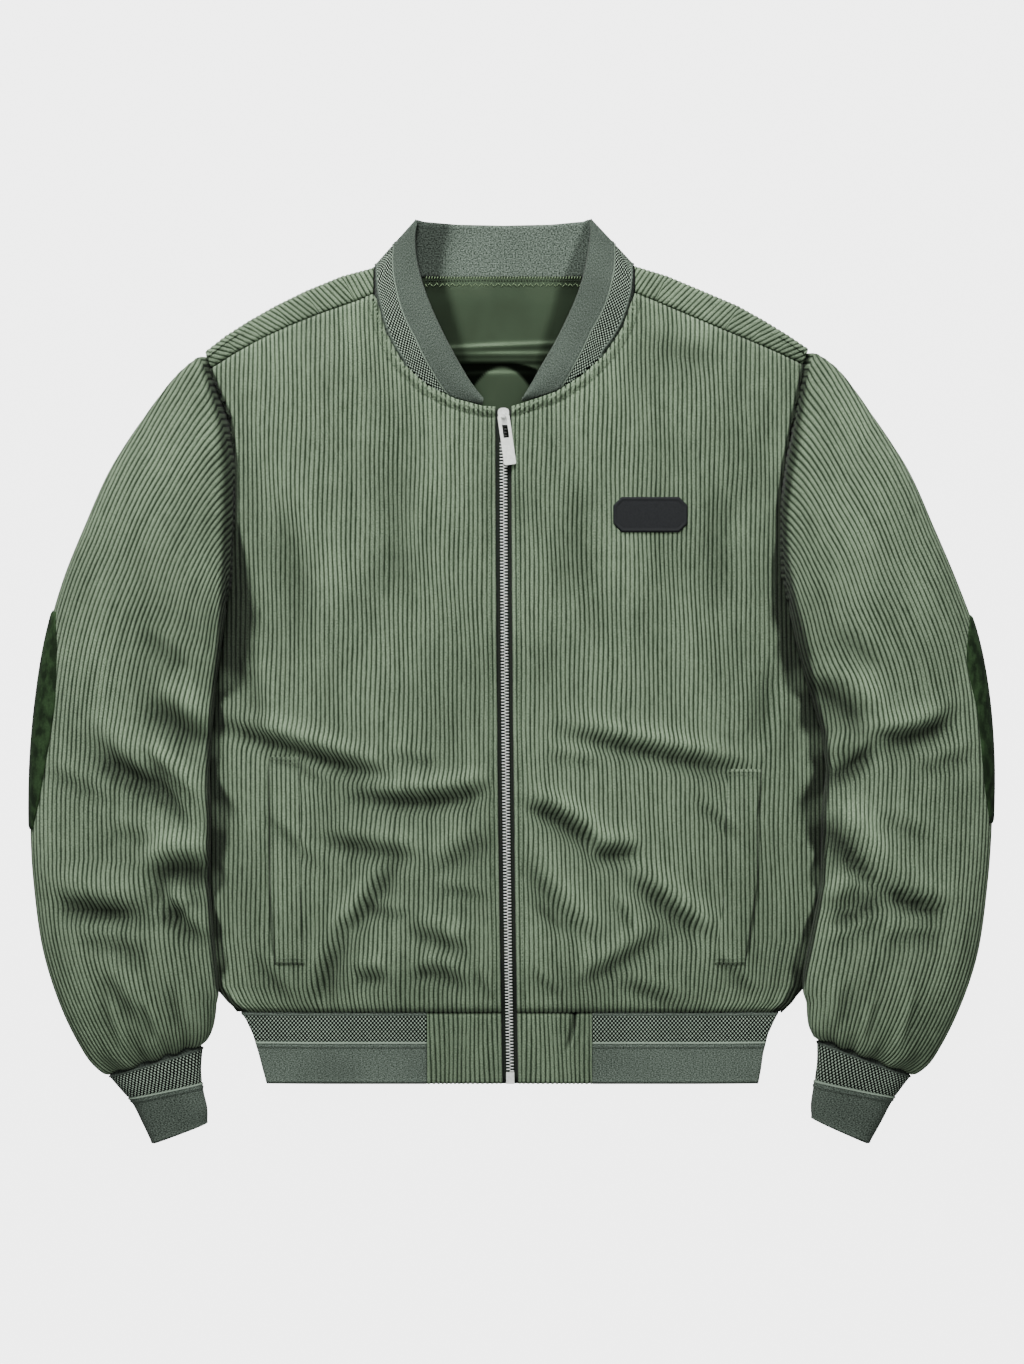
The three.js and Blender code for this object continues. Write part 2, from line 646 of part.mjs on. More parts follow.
// Lining: only the stretch that shows in the neck
const LINING_COLUMNS = 10;
const liningGrid = LINING.map((row) => Array.from({ length: LINING_COLUMNS + 1 }, (_, j) => {
  const x = mix(row.right, row.left, j / LINING_COLUMNS);
  const ridge = 2.6 * bell((row.y - 280) / 10) + 1.6 * bell((row.y - 243) / 9);
  return vector(x, row.y, CLOTH + SEAM_GAP + SATIN + ridge * Math.sin((Math.PI * j) / LINING_COLUMNS));
}));
add('lining', sheet(liningGrid, SATIN), 'satin');

// Zip: tapes under the edges of the fronts, chain, bottom box, slider and pull tab
const TAPE_THICK = 1.0;
const TAPE_REACH = 13;
const TAPE_DROP = 3.3; // tape's top below the edges of the fronts
const CHAIN_DROP = 1.2; // chain's top below the edges of the fronts
const ZIP_STATIONS = 32;
const CHAIN_TOP_Y = 217.5;
const CHAIN_END_Y = -320;
function zipStations(from, to) {
  return Array.from({ length: ZIP_STATIONS + 1 }, (_, k) => mix(from, to, k / ZIP_STATIONS));
}
function rectangle(y, x0, x1, z0, z1) {
  return [vector(x0, y, z0), vector(x1, y, z0), vector(x1, y, z1), vector(x0, y, z1)];
}
for (const side of Object.keys(SIDES)) {
  const sign = SIDES[side];
  add(`zip_tape_${side}`, bar(zipStations(ZIP_TOP_Y - 1, HEM_END_Y + 1).map((y) => {
    const top = zipHeight(y) - TAPE_DROP;
    const middle = zipX(y);
    return rectangle(y, middle + sign * (CHAIN_WIDTH / 2 + SEAM_GAP), middle + sign * TAPE_REACH, top - TAPE_THICK, top);
  })), 'tape');
}
add('zip_chain', bar(zipStations(CHAIN_TOP_Y, CHAIN_END_Y).map((y) => {
  const top = zipHeight(y) - CHAIN_DROP;
  const middle = zipX(y);
  return rectangle(y, middle - CHAIN_WIDTH / 2, middle + CHAIN_WIDTH / 2, top - CHAIN_THICK, top);
})), 'metal');
const STOP_THICK = 3.4;
const stopTop = zipHeight(CHAIN_END_Y) - CHAIN_DROP + 0.5;
add('zip_stop', bar([CHAIN_END_Y - SEAM_GAP, HEM_END_Y].map((y) => (
  rectangle(y, zipX(y) - 3.3, zipX(y) + 3.3, stopTop - STOP_THICK, stopTop)
))), 'metal');

// Slider: two plates joined by a post above the chain, with a bridge for the tab
const wasm = await Module();
wasm.setup();

function toManifold(geometry) {
  const bare = geometry.clone();
  for (const name of ['normal', 'uv']) bare.deleteAttribute(name);
  const merged = mergeVertices(bare, 1e-4);
  const vertProperties = new Float32Array(merged.attributes.position.array);
  const triVerts = new Uint32Array(merged.index.array);
  return new wasm.Manifold(new wasm.Mesh({ numProp: 3, vertProperties, triVerts }));
}

function joined(geometries) {
  const whole = geometries.map(toManifold).reduce((sum, next) => sum.add(next));
  const mesh = whole.getMesh();
  const geometry = new THREE.BufferGeometry();
  geometry.setAttribute('position', new THREE.BufferAttribute(mesh.vertProperties, 3));
  geometry.setIndex(new THREE.BufferAttribute(mesh.triVerts, 1));
  geometry.computeVertexNormals();
  return geometry;
}

const SLIDER_LENGTH = 14;
const SLIDER_WIDTH = 9.2;
const SLIDER_PLATE = 1.1;
const POST_WIDTH = 2.6;
const BRIDGE_WIDTH = 2.4;
const BRIDGE_WALL = 1.1;
const BAR_RADIUS = 0.8; // the tab's bar, held in the bridge
const BAR_PLAY = 0.45;
const sliderY = 218;
const sliderX = zipX(sliderY);
const chainTopZ = zipHeight(sliderY) - CHAIN_DROP;
const plateTopZ = chainTopZ + SEAM_GAP + SLIDER_PLATE;
const barZ = plateTopZ + BAR_PLAY + BAR_RADIUS;

// Plate outline: wide shoulders by the collar, narrower where the closed chain comes out
function sliderPlate(bottomZ) {
  const half = SLIDER_WIDTH / 2;
  const end = SLIDER_LENGTH / 2;
  const shape = new THREE.Shape();
  shape.moveTo(-half * 0.8, -end);
  shape.lineTo(half * 0.8, -end);
  shape.lineTo(half, end * 0.5);
  shape.quadraticCurveTo(half, end, 0, end);
  shape.quadraticCurveTo(-half, end, -half, end * 0.5);
  const geometry = new THREE.ExtrudeGeometry(shape, { depth: SLIDER_PLATE, bevelEnabled: false, curveSegments: 5 });
  return geometry.translate(sliderX, sliderY, bottomZ);
}

function block(width, length, height, x, y, bottomZ) {
  return new THREE.BoxGeometry(width, length, height).translate(x, y, bottomZ + height / 2);
}

// Bridge: an arch along the zip, drawn from the side and given its width across
function sliderBridge() {
  const inside = BAR_RADIUS + BAR_PLAY + 0.35;
  const outside = inside + BRIDGE_WALL;
  const insideTop = 2 * (BAR_RADIUS + BAR_PLAY) + 0.1;
  const arch = new THREE.Shape();
  arch.moveTo(-outside, -0.3);
  arch.lineTo(-inside, -0.3);
  arch.lineTo(-inside, insideTop * 0.7);
  arch.lineTo(-inside * 0.6, insideTop);
  arch.lineTo(inside * 0.6, insideTop);
  arch.lineTo(inside, insideTop * 0.7);
  arch.lineTo(inside, -0.3);
  arch.lineTo(outside, -0.3);
  arch.lineTo(outside, insideTop * 0.8);
  arch.lineTo(inside * 0.8, insideTop + BRIDGE_WALL);
  arch.lineTo(-inside * 0.8, insideTop + BRIDGE_WALL);
  arch.lineTo(-outside, insideTop * 0.8);
  const geometry = new THREE.ExtrudeGeometry(arch, { depth: BRIDGE_WIDTH, bevelEnabled: false });
  geometry.translate(0, 0, -BRIDGE_WIDTH / 2);
  geometry.rotateX(Math.PI / 2).rotateZ(Math.PI / 2);
  return geometry.translate(sliderX, sliderY, plateTopZ);
}

const lowerPlateZ = chainTopZ - CHAIN_THICK - 2 * SEAM_GAP - SLIDER_PLATE;
const postY = sliderY + SLIDER_LENGTH / 2 - 3.4;
add('zip_slider', joined([
  sliderPlate(lowerPlateZ),
  sliderPlate(chainTopZ + SEAM_GAP),
  block(POST_WIDTH, 3.2, plateTopZ - lowerPlateZ - 0.4, sliderX, postY + 1, lowerPlateZ + 0.2),
  sliderBridge(),
]), 'metal');

// Pull tab: a flat plate with a window, leaning a little to the wearer's left
const TAB_LENGTH = 41;
const TAB_WIDTH = 9.8;
const TAB_PLATE = 1.5;
const TAB_WINDOW = 4.6;
const TAB_LEAN = 0.14;
const TAB_PITCH = 0.045;
function tabShape() {
  const half = TAB_WIDTH / 2;
  const corner = 1.6;
  const top = BAR_RADIUS;
  const end = top - TAB_LENGTH;
  const shape = new THREE.Shape();
  shape.moveTo(-half + corner, end);
  shape.lineTo(half - corner, end);
  shape.quadraticCurveTo(half, end, half, end + corner);
  shape.lineTo(half, top - corner);
  shape.quadraticCurveTo(half, top, half - corner, top);
  shape.lineTo(-half + corner, top);
  shape.quadraticCurveTo(-half, top, -half, top - corner);
  shape.lineTo(-half, end + corner);
  shape.quadraticCurveTo(-half, end, -half + corner, end);
  const window = new THREE.Path();
  const windowHalf = TAB_WINDOW / 2;
  window.moveTo(-windowHalf, -BAR_RADIUS);
  window.lineTo(-windowHalf, -18);
  window.lineTo(windowHalf, -18);
  window.lineTo(windowHalf, -BAR_RADIUS);
  window.closePath();
  shape.holes.push(window);
  return shape;
}
const tabGeometry = new THREE.ExtrudeGeometry(tabShape(), { depth: TAB_PLATE, bevelEnabled: false, curveSegments: 3 });
tabGeometry.translate(0, 0, -TAB_PLATE / 2);
const tabHolder = new THREE.Group();
tabHolder.position.set(sliderX, sliderY, barZ);
tabHolder.rotation.set(-TAB_PITCH, 0, TAB_LEAN, 'ZXY');
group.add(tabHolder);
add('zip_pull', tabGeometry, 'metal', tabHolder);

// Chest badge: an octagon made from the left front's points, moved out
const BADGE = { x: 113.6, y: 137.3, width: 61, height: 29, corner: 7, thick: 1.4 };
const BADGE_ROWS = 4;
const BADGE_COLUMNS = 8;
const badgeGrid = Array.from({ length: BADGE_ROWS + 1 }, (_, i) => {
  const v = mix(-0.5, 0.5, i / BADGE_ROWS);
  const y = BADGE.y + v * BADGE.height;
  const cut = Math.max(0, BADGE.corner - (0.5 - Math.abs(v)) * BADGE.height);
  return Array.from({ length: BADGE_COLUMNS + 1 }, (__, j) => {
    const x = BADGE.x + mix(-0.5, 0.5, j / BADGE_COLUMNS) * (BADGE.width - 2 * cut);
    return vector(x, y, frontHeight('left', x, y));
  });
});
add('badge', applied(badgeGrid, STITCHED_GAP + 0.1, BADGE.thick), 'badge');

export default group;
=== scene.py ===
"""Wide-wale corduroy bomber jacket with a closed metal zip, laid flat on its back.

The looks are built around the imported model, in its frame: +Z up, +Y towards the collar, +X towards the
wearer's left. Shapes are worked out in millimetres and made in metres.
"""

import logging
import math
from dataclasses import dataclass, field
from enum import Enum

import bmesh
import bpy
import numpy as np
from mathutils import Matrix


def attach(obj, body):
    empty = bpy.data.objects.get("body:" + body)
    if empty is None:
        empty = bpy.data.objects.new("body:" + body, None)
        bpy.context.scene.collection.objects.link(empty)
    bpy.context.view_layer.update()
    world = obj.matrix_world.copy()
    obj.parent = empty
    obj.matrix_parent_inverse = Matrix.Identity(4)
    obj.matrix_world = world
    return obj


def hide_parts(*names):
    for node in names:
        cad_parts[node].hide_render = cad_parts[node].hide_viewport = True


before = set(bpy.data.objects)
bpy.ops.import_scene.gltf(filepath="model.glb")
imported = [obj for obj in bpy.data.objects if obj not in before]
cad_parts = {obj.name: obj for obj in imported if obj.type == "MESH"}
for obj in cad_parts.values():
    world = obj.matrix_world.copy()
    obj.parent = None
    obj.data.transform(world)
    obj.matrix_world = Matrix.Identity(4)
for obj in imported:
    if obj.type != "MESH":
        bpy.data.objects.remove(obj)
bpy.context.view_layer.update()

LOG = logging.getLogger("jacket")
BODY = "jacket"

# Driving sizes, as in the part's source
CLOTH = 1.8
SATIN = 1.0
SUEDE = 1.2
WELT = 1.5
SEAM_GAP = 0.35
STITCHED_GAP = 0.3
PATCH_GAP = 0.85
CROWN = 18.0
SIDE_RISE = 80.0
HEM_SEAM_Y = -271.0
HEM_END_Y = -330.0
HEM_RISE = 50.0
NECK_BACK_Y = 334.0
TOP_FALL = 45.0
ZIP_TOP_Y = 225.0
ZIP_HALF_GAP = 6.1
CHAIN_DROP = 1.2
CHAIN_TOP_Y = 217.5
CHAIN_END_Y = -320.0
TAPE_DROP = 3.3
TAPE_REACH = 13.0

# Corduroy: distance from groove to groove, height of the pile and points across each wale
WALE = 3.7
PILE = 1.0
PILE_BASE = 0.55  # share of the pile's height that lies under the cloth's mean face
POINTS_PER_WALE = 4
WALE_STEP = WALE / POINTS_PER_WALE


class Side(Enum):
    """The wearer's sides: the right is on -X and the left on +X."""

    RIGHT = "right"
    LEFT = "left"

    @property
    def sign(self) -> int:
        """Direction of the side along X."""
        return -1 if self is Side.RIGHT else 1


Array = np.ndarray


def rows(*values: tuple[float, ...]) -> Array:
    """Table of measured rows as an array."""
    return np.array(values, float)


# Side edges of the body from the hem up: y, x on the right, x on the left, height of the cloth there
BODY_SIDE = rows(
    (-271, -224, 221, 5.6), (-262, -234, 231, 5.0), (-250, -240, 237, 4.4), (-211, -244, 244.5, 4.4),
    (-165, -247, 253.5, 4.4), (-110, -246.5, 254, 4.4), (-72, -247.5, 258, 4.4), (-40, -245.5, 254, 4.4),
    (0, -242, 242, 4.4), (30, -238, 234, 4.6), (66, -233, 226.5, 5.5), (100, -229.5, 221, 8),
    (140, -227, 219.8, 10.5), (180, -226.5, 223.8, 11), (218, -231, 231, 10.5), (258, -248, 239.5, 9),
)

# Each shoulder from the collar out: x and y of the fold at the top edge, x and y of the forward seam
SHOULDER = {
    Side.RIGHT: rows(
        (-113.4, 340.7, -113.4, 319), (-139, 334, -128, 312.8), (-169, 321.8, -158, 302.4),
        (-194, 309.5, -182, 292.8), (-216, 297, -205, 282.4), (-235, 284.9, -226, 271),
        (-252, 271.5, -247, 258),
    ),
    Side.LEFT: rows(
        (101.6, 342, 101.6, 319.6), (127.5, 334.1, 118, 313), (157, 321.8, 147, 300.6),
        (186, 309.5, 175, 289), (208, 297.2, 198, 279.6), (228, 284.9, 219, 270.8), (244, 274, 239, 261.5),
    ),
}
SHOULDER_FOLD_RADIUS = 6.0

# Collar bands from the top corner to the zip: x and y of neck seam and free edge, heights of both
COLLAR = {
    Side.RIGHT: rows(
        (-112.2, 341.5, -76, 379.5, 6.6, 6.6), (-111.6, 328, -78.3, 366, 11, 8),
        (-109.2, 313.6, -77.5, 350, 14, 10), (-102, 287, -73, 330, 15, 12),
        (-89, 264, -65.2, 308, 15.5, 13.5), (-68.6, 244.6, -52, 280, 16, 14.5),
        (-45.8, 233.4, -35.7, 251.3, 16.2, 15.5), (-24, 227.6, -22.5, 233, 16.2, 16.2),
    ),
    Side.LEFT: rows(
        (100.4, 342, 62.7, 380, 6.6, 6.6), (99.8, 328, 64, 366, 11, 8), (97.2, 313, 61.5, 349, 14, 10),
        (89.6, 291.5, 57.5, 331, 15, 12), (75.8, 271, 50, 310, 15.5, 13.5), (57, 253, 36, 281, 16, 14.5),
        (35, 239.2, 22, 257, 16.2, 15.5), (9, 230.4, 10.4, 236, 16.2, 16.2),
    ),
}

# Neck seam of each front, from the zip to its corner with the forward shoulder seam
NECK_SEAM = {
    Side.RIGHT: rows(
        (-13, 226), (-24, 226.6), (-46, 232.5), (-69, 243.8), (-89.8, 263.6), (-103, 287), (-110, 313.4),
        (-113.4, 318.6),
    ),
    Side.LEFT: rows(
        (0, 226.4), (10, 229.2), (36.5, 238.2), (58.6, 252.4), (77.3, 270.4), (91, 291), (98.4, 312.6),
        (101.6, 319.2),
    ),
}

# Sleeves and cuffs from the armhole out: x and y of outer and inner edge, height, bow of the section
SLEEVE = {
    Side.RIGHT: rows(
        (-256.5, 269, -234.5, 66, 12.5, 18.5), (-277, 250, -236, 58, 24, 9), (-305, 212, -238, 48, 31, 3),
        (-329, 174, -240, 38, 34, 0), (-351, 125, -241.5, 26, 35, 0), (-368, 82, -243.5, 12, 35, 0),
        (-381, 35, -246, -12, 35, 0), (-389, -15, -248, -42, 35, 0), (-393.4, -66, -249.5, -77, 35, 0),
        (-394, -120, -248.5, -125, 35, 0), (-391.5, -165, -249.5, -170, 34, 0),
        (-384, -219, -246, -212, 33, 0), (-368.6, -268, -242, -252, 30, 0), (-349, -306, -245, -282, 23, 0),
        (-331.7, -322.5, -253, -298, 15, 0),
    ),
    Side.LEFT: rows(
        (249, 272, 228, 66, 12.5, 16.5), (270, 255, 229.5, 58, 24, 8), (298, 216, 232, 48, 31, 3),
        (325, 174, 235, 38, 34, 0), (347, 125, 239, 24, 35, 0), (366, 80, 244, 8, 35, 0),
        (381, 38, 250, -14, 35, 0), (390, -10, 257, -40, 36, 0), (394, -62, 262, -66, 36, 0),
        (393.5, -115, 256, -110, 35, 0), (390, -165, 255.5, -165, 34, 0), (382, -222, 247, -212, 33, 0),
        (366, -270, 242.5, -250, 30, 0), (346, -308, 244, -280, 23, 0), (329, -322.5, 250.5, -293, 15, 0),
    ),
}
CUFF = {
    Side.RIGHT: rows(
        (-331.4, -323.3, -253.2, -298.9, 16, 0), (-322, -334, -254.6, -318, 17, 0),
        (-312, -346, -253, -334, 16, 0), (-304, -362, -249.6, -350, 14, 0), (-295.6, -380, -249.7, -363, 12, 0),
    ),
    Side.LEFT: rows(
        (328.7, -323.3, 250.7, -293.9, 16, 0), (321, -333, 250.5, -313, 17, 0),
        (312.8, -345, 247.5, -333, 16, 0), (304, -362, 245.6, -347, 14, 0), (294, -380, 246.3, -359, 12, 0),
    ),
}
EQUATOR = 0.32
CAP_SLIP = (30.0, 17.0, 8.0, 3.0, 0.0)  # how far the wales run over the outer edge at the first rows

# How far each elbow patch shows inwards from the sleeve's outer edge: row of the sleeve's table, reach
ELBOW_PATCH = {
    Side.RIGHT: rows((5.5, 4), (6, 11), (6.5, 15), (7, 17.5), (7.5, 16.5), (8, 14), (8.5, 10), (9, 4)),
    Side.LEFT: rows((5.6, 2), (5.9, 8), (6.3, 14), (6.7, 14.5), (7.2, 12.5), (8, 11), (8.5, 8.5), (9, 4)),
}

HEM_SIDE = rows(
    (-271.4, -222.5, 219.5), (-277, -218.5, 216.5), (-289, -212.8, 211), (-305, -208, 207),
    (-318, -204.6, 205.2), (-330, -201.3, 202.9),
)
HEM_TAB_EDGE = {Side.RIGHT: -69.3, Side.LEFT: 66.0}
HEM_TOP = 9.4
HEM_RIM = 5.4

LINING = rows(
    (333, -108, 97), (315, -106, 93), (300, -101, 87), (280, -93, 76), (260, -80, 58), (243, -60, 36),
    (228, -34, 12), (216, -24, 4),
)


def share(t: Array) -> Array:
    """Value kept between 0 and 1."""
    return np.clip(t, 0, 1)


def mix(a: Array, b: Array, t: Array) -> Array:
    """Value between a and b at share t."""
    return a + (b - a) * t


def ease(t: Array) -> Array:
    """Quarter of a sine wave from 0 to 1, held beyond."""
    return np.sin(share(t) * np.pi / 2)


def bell(t: Array) -> Array:
    """Soft hump of height 1 and half-width about 1."""
    return np.exp(-t * t)


def read(table: Array, key: int, value: Array, column: int) -> Array:
    """Value of a table's column where its key column has the given value.

    Args:
        table: Measured rows.
        key: Column that is looked up, rising or falling.
        value: Where to read.
        column: Column that is read.

    Returns:
        The column's values, straight between rows and held beyond the ends.
    """
    order = np.argsort(table[:, key])
    return np.interp(value, table[order, key], table[order, column])


def row_at(table: Array, position: Array) -> Array:
    """Rows between table rows, on a smooth curve through them.

    Args:
        table: Measured rows.
        position: Row numbers, whole or not.

    Returns:
        One interpolated row for each position.
    """
    last = len(table) - 1
    i = np.minimum(last - 1, np.floor(position)).astype(int)
    t = (position - i)[:, None]
    before, start, end, after = (table[np.clip(i + k, 0, last)] for k in (-1, 0, 1, 2))
    smooth = t * t * (3 - 2 * t)
    bend = (end - before) / 2 * t * (1 - t) ** 2 - (after - start) / 2 * t * t * (1 - t)
    return mix(start, end, smooth) + bend


def wale_profile(across: Array) -> Array:
    """Height of the pile over the ground cloth, with a groove at each whole wale.

    Args:
        across: Distance across the wales in millimetres.

    Returns:
        Height in millimetres, below 0 in the grooves.
    """
    return PILE * (np.abs(np.sin(np.pi * across / WALE)) ** 0.7 - PILE_BASE)


def distance_to(line: Array, x: Array, y: Array) -> Array:
    """Distance in plan from points to a line.

    Args:
        line: Points along the line, as rows of x and y.
        x: Places along X.
        y: Places along Y.

    Returns:
        Distances in the shape of x.
    """
    start, step = line[:-1], np.diff(line, axis=0)
    places = np.stack([np.ravel(x), np.ravel(y)], 1)
    nearest = np.full(len(places), np.inf)
    for (ax, ay), (dx, dy) in zip(start, step):
        t = share(((places[:, 0] - ax) * dx + (places[:, 1] - ay) * dy) / (dx * dx + dy * dy))
        nearest = np.minimum(nearest, np.hypot(places[:, 0] - ax - t * dx, places[:, 1] - ay - t * dy))
    return nearest.reshape(np.shape(x))


@dataclass(frozen=True)
class Fold:
    """Soft fold, with its ridge on the left of the way it runs and its trough on the right."""

    x0: float
    y0: float
    x1: float
    y1: float
    bow: float
    width: float
    depth: float

    def run(self, x: Array, y: Array) -> tuple[Array, Array]:
        """Where places in plan lie along and across the fold.

        Args:
            x: Places along X.
            y: Places along Y.

        Returns:
            Share of the fold's length, and distance across it in millimetres.
        """
        dx, dy = self.x1 - self.x0, self.y1 - self.y0
        length = math.hypot(dx, dy)
        along = ((x - self.x0) * dx + (y - self.y0) * dy) / length**2
        arc = self.bow * 4 * share(along) * (1 - share(along))
        across = ((y - self.y0) * dx - (x - self.x0) * dy) / length - arc
        return along, across

    def height(self, x: Array, y: Array) -> Array:
        """Height that the fold adds.

        Args:
            x: Places along X.
            y: Places along Y.

        Returns:
            Heights in millimetres, below 0 in the trough.
        """
        along, across = self.run(x, y)
        fade = np.exp(-1.2 * ((2 * along - 1) / 1.05) ** 4)
        ridge = 0.55 * bell((across - 1.1 * self.width) / self.width)
        trough = bell((across + 0.2 * self.width) / (0.9 * self.width))
        return self.depth * fade * (ridge - trough)

    def depth_of_shade(self, x: Array, y: Array) -> Array:
        """Shade that the fold paints into the colour, below 0 a painted highlight on its open ridge.

        Args:
            x: Places along X.
            y: Places along Y.

        Returns:
            Painted shade, at most about 0.6.
        """
        along, across = self.run(x, y)
        along = along + 0.05 * np.sin(across / 5 + self.x0)
        fade = np.exp(-1.2 * ((2 * along - 1) / 0.98) ** 4)
        across = across / self.width
        below = np.where(across > -0.2, bell((across + 0.2) / 0.62), bell((across + 0.2) / 1.3))
        ridge = bell((across - 1.45) / 0.95)
        return (0.22 + self.depth / 11) * fade * (0.85 * below - 0.36 * ridge)


def folds(*values: tuple[float, ...]) -> list[Fold]:
    """Folds from rows of start, end, bow, width and depth."""
    return [Fold(*row) for row in values]


def relief(made: list[Fold], x: Array, y: Array) -> Array:
    """Sum of the heights that folds add at places in plan."""
    return sum((fold.height(x, y) for fold in made), np.zeros(np.shape(x)))


def shade_of(made: list[Fold], x: Array, y: Array) -> Array:
    """Sum of the shade that folds paint into the colour at places in plan."""
    return sum((fold.depth_of_shade(x, y) for fold in made), np.zeros(np.shape(x)))


# Largest folds, as in the part's source
FOLDS = {
    Side.RIGHT: folds(
        (-231, -38, -104, -77, 0, 9, 6.5), (-124, -94, -17, -88, -5, 9, 6), (-150, -130, -80, -143, 0, 9, 4),
        (-139, -207, -100, -151, -4, 9, 4.5), (-158, -266, -137, -210, 4, 9, 3.5),
        (-81, -203, -38, -220, 0, 9, 3.5), (-128, -241, -102, -241, 0, 8, 3), (-81, -240, -39, -250, 7, 8, 3),
        (-63, -154, -17, -126, 0, 10, 2.5),
    ),
    Side.LEFT: folds(
        (51, -43, 188, -73, 0, 9, 5.5), (14, -101, 70, -137, 5, 9, 6.5), (66, -141, 104, -139, 0, 9, 5),
        (102, -163, 160, -210, 0, 10, 5.5), (15, -147, 66, -210, -5, 10, 3.5), (62, -245, 125, -205, 0, 9, 3.5),
        (94, -248, 146, -268, 0, 8, 2.5), (112, 277, 168, 268, 0, 14, 1.5),
    ),
}
SLEEVE_FOLDS = {
    Side.RIGHT: folds(
        (-292, -18, -246, -50, 0, 13, 7), (-341, -47, -272, -100, 0, 13, 5), (-296, -60, -261, -120, 0, 9, 4),
        (-296, -158, -246, -156, 6, 14, 9), (-372, -176, -300, -190, 0, 13, 4), (-331, -240, -306, -276, 0, 10, 3),
    ),
    Side.LEFT: folds(
        (246, 0, 292, -36, 4, 13, 7), (256, -76, 290, -54, 0, 11, 5), (292, -50, 362, -27, -6, 12, 4.5),
        (254, -112, 296, -158, 0, 13, 8), (256, -186, 294, -170, 0, 11, 6), (300, -163, 352, -190, 0, 13, 4),
    ),
}

# Lesser creases between them
CREASES = {
    Side.RIGHT: folds(
        (-200, -60, -150, -84, 3, 5, 1.6), (-105, -60, -60, -66, 0, 6, 1.4), (-200, -110, -160, -150, 0, 6, 1.6),
        (-60, -170, -20, -176, 2, 5, 1.4), (-120, -180, -84, -190, -3, 5, 1.3), (-210, -225, -180, -262, 0, 6, 1.4),
        (-30, -236, -14, -262, 0, 4, 1.2), (-195, 150, -170, 40, 8, 16, 1.6), (-90, 180, -80, 60, -5, 18, 1.3),
        (-214, 20, -206, -40, 0, 9, 2.2),
    ),
    Side.LEFT: folds(
        (30, -60, 70, -66, 0, 6, 1.4), (150, -96, 186, -126, 0, 6, 1.6), (20, -180, 44, -204, 0, 5, 1.4),
        (80, -176, 100, -206, 3, 5, 1.4), (170, -226, 200, -256, 0, 6, 1.4), (16, -236, 40, -258, 0, 5, 1.2),
        (190, 160, 176, 60, -8, 16, 1.6), (60, 170, 56, 60, 4, 18, 1.3), (216, 10, 206, -50, 0, 9, 2.2),
    ),
}

SLEEVE_CREASES = {
    Side.RIGHT: folds(
        (-380, -70, -330, -96, 0, 7, 2.0), (-300, 40, -262, 10, 0, 9, 1.8), (-352, -210, -300, -222, 3, 8, 2.2),
        (-290, -196, -256, -176, 0, 7, 2.2), (-334, -258, -322, -300, 0, 5, 1.8), (-300, -262, -292, -292, 0, 5, 1.8),
        (-276, -248, -272, -282, 0, 5, 1.5), (-330, -120, -290, -128, 0, 8, 1.6),
        (-297, -58, -256, -100, 3, 6, 3.4), (-335, -62, -292, -84, 0, 9, 3), (-368, -180, -312, -188, 0, 8, 3),
        (-290, -164, -251, -212, -4, 8, 5.5),
    ),
    Side.LEFT: folds(
        (330, -70, 380, -58, 0, 7, 2.0), (268, 44, 300, 14, 0, 9, 1.8), (300, -212, 352, -206, 3, 8, 2.2),
        (262, -214, 300, -196, 0, 7, 2.0), (322, -300, 330, -256, 0, 5, 1.8), (290, -292, 298, -258, 0, 5, 1.8),
        (268, -282, 272, -246, 0, 5, 1.5), (300, -112, 340, -124, 0, 8, 1.6),
        (258, -80, 292, -54, -3, 6, 3.6), (295, -42, 352, -32, -3, 6, 2.6), (260, -194, 302, -174, -4, 6, 3.6),
        (276, -142, 300, -166, 0, 6, 3), (308, -172, 348, -185, 0, 7, 3.4),
    ),
}


def zip_x(y: Array) -> Array:
    """Middle of the zip along X."""
    return -6.6 + 5.6 * share((ZIP_TOP_Y - y) / 550) ** 1.8


def body_edge(side: Side, y: Array) -> Array:
    """Side edge of the body along X."""
    return read(BODY_SIDE, 0, y, 1 if side is Side.RIGHT else 2)


def front_top(side: Side, x: Array) -> Array:
    """Top boundary of a front: neck seam, then forward shoulder seam.

    Args:
        side: Side of the front.
        x: Places along X.

    Returns:
        The boundary's Y at those places.
    """
    neck = NECK_SEAM[side]
    seam = read(SHOULDER[side], 2, x, 3) - SEAM_GAP
    return np.where(np.abs(x) <= abs(neck[-1, 0]), read(neck, 0, x, 1), seam)


def front_rise(side: Side, x: Array, y: Array) -> Array:
    """Outer face of the fronts above the surface, without folds.

    Args:
        side: Side of the front.
        x: Places along X.
        y: Places along Y.

    Returns:
        Heights in millimetres.
    """
    rim = read(BODY_SIDE, 0, y, 3)
    inwards = np.abs(body_edge(side, y)) - np.abs(x)
    from_zip = x - zip_x(y)
    hem = mix(0.36, 1, ease((y - HEM_SEAM_Y) / HEM_RISE))
    kept = mix(0.5, 0.8, bell(from_zip / 60))
    top = mix(kept, 1, ease((front_top(side, x) - y) / TOP_FALL))
    return rim + (CROWN - rim) * ease(inwards / SIDE_RISE) * hem * top - 1.6 * bell(from_zip / 18)


def front_height(side: Side, x: Array, y: Array) -> Array:
    """Outer face of the fronts with the largest folds and the lesser creases.

    Args:
        side: Side of the front.
        x: Places along X.
        y: Places along Y.

    Returns:
        Heights in millimetres.
    """
    from_zip = np.abs(x - zip_x(y)) - ZIP_HALF_GAP
    from_side = np.abs(body_edge(side, y)) - np.abs(x)
    fade = ease(from_zip / 20) * ease(from_side / 14) * ease((y - HEM_SEAM_Y) / 22)
    return front_rise(side, x, y) + relief(FOLDS[side] + CREASES[side], x, y) * fade


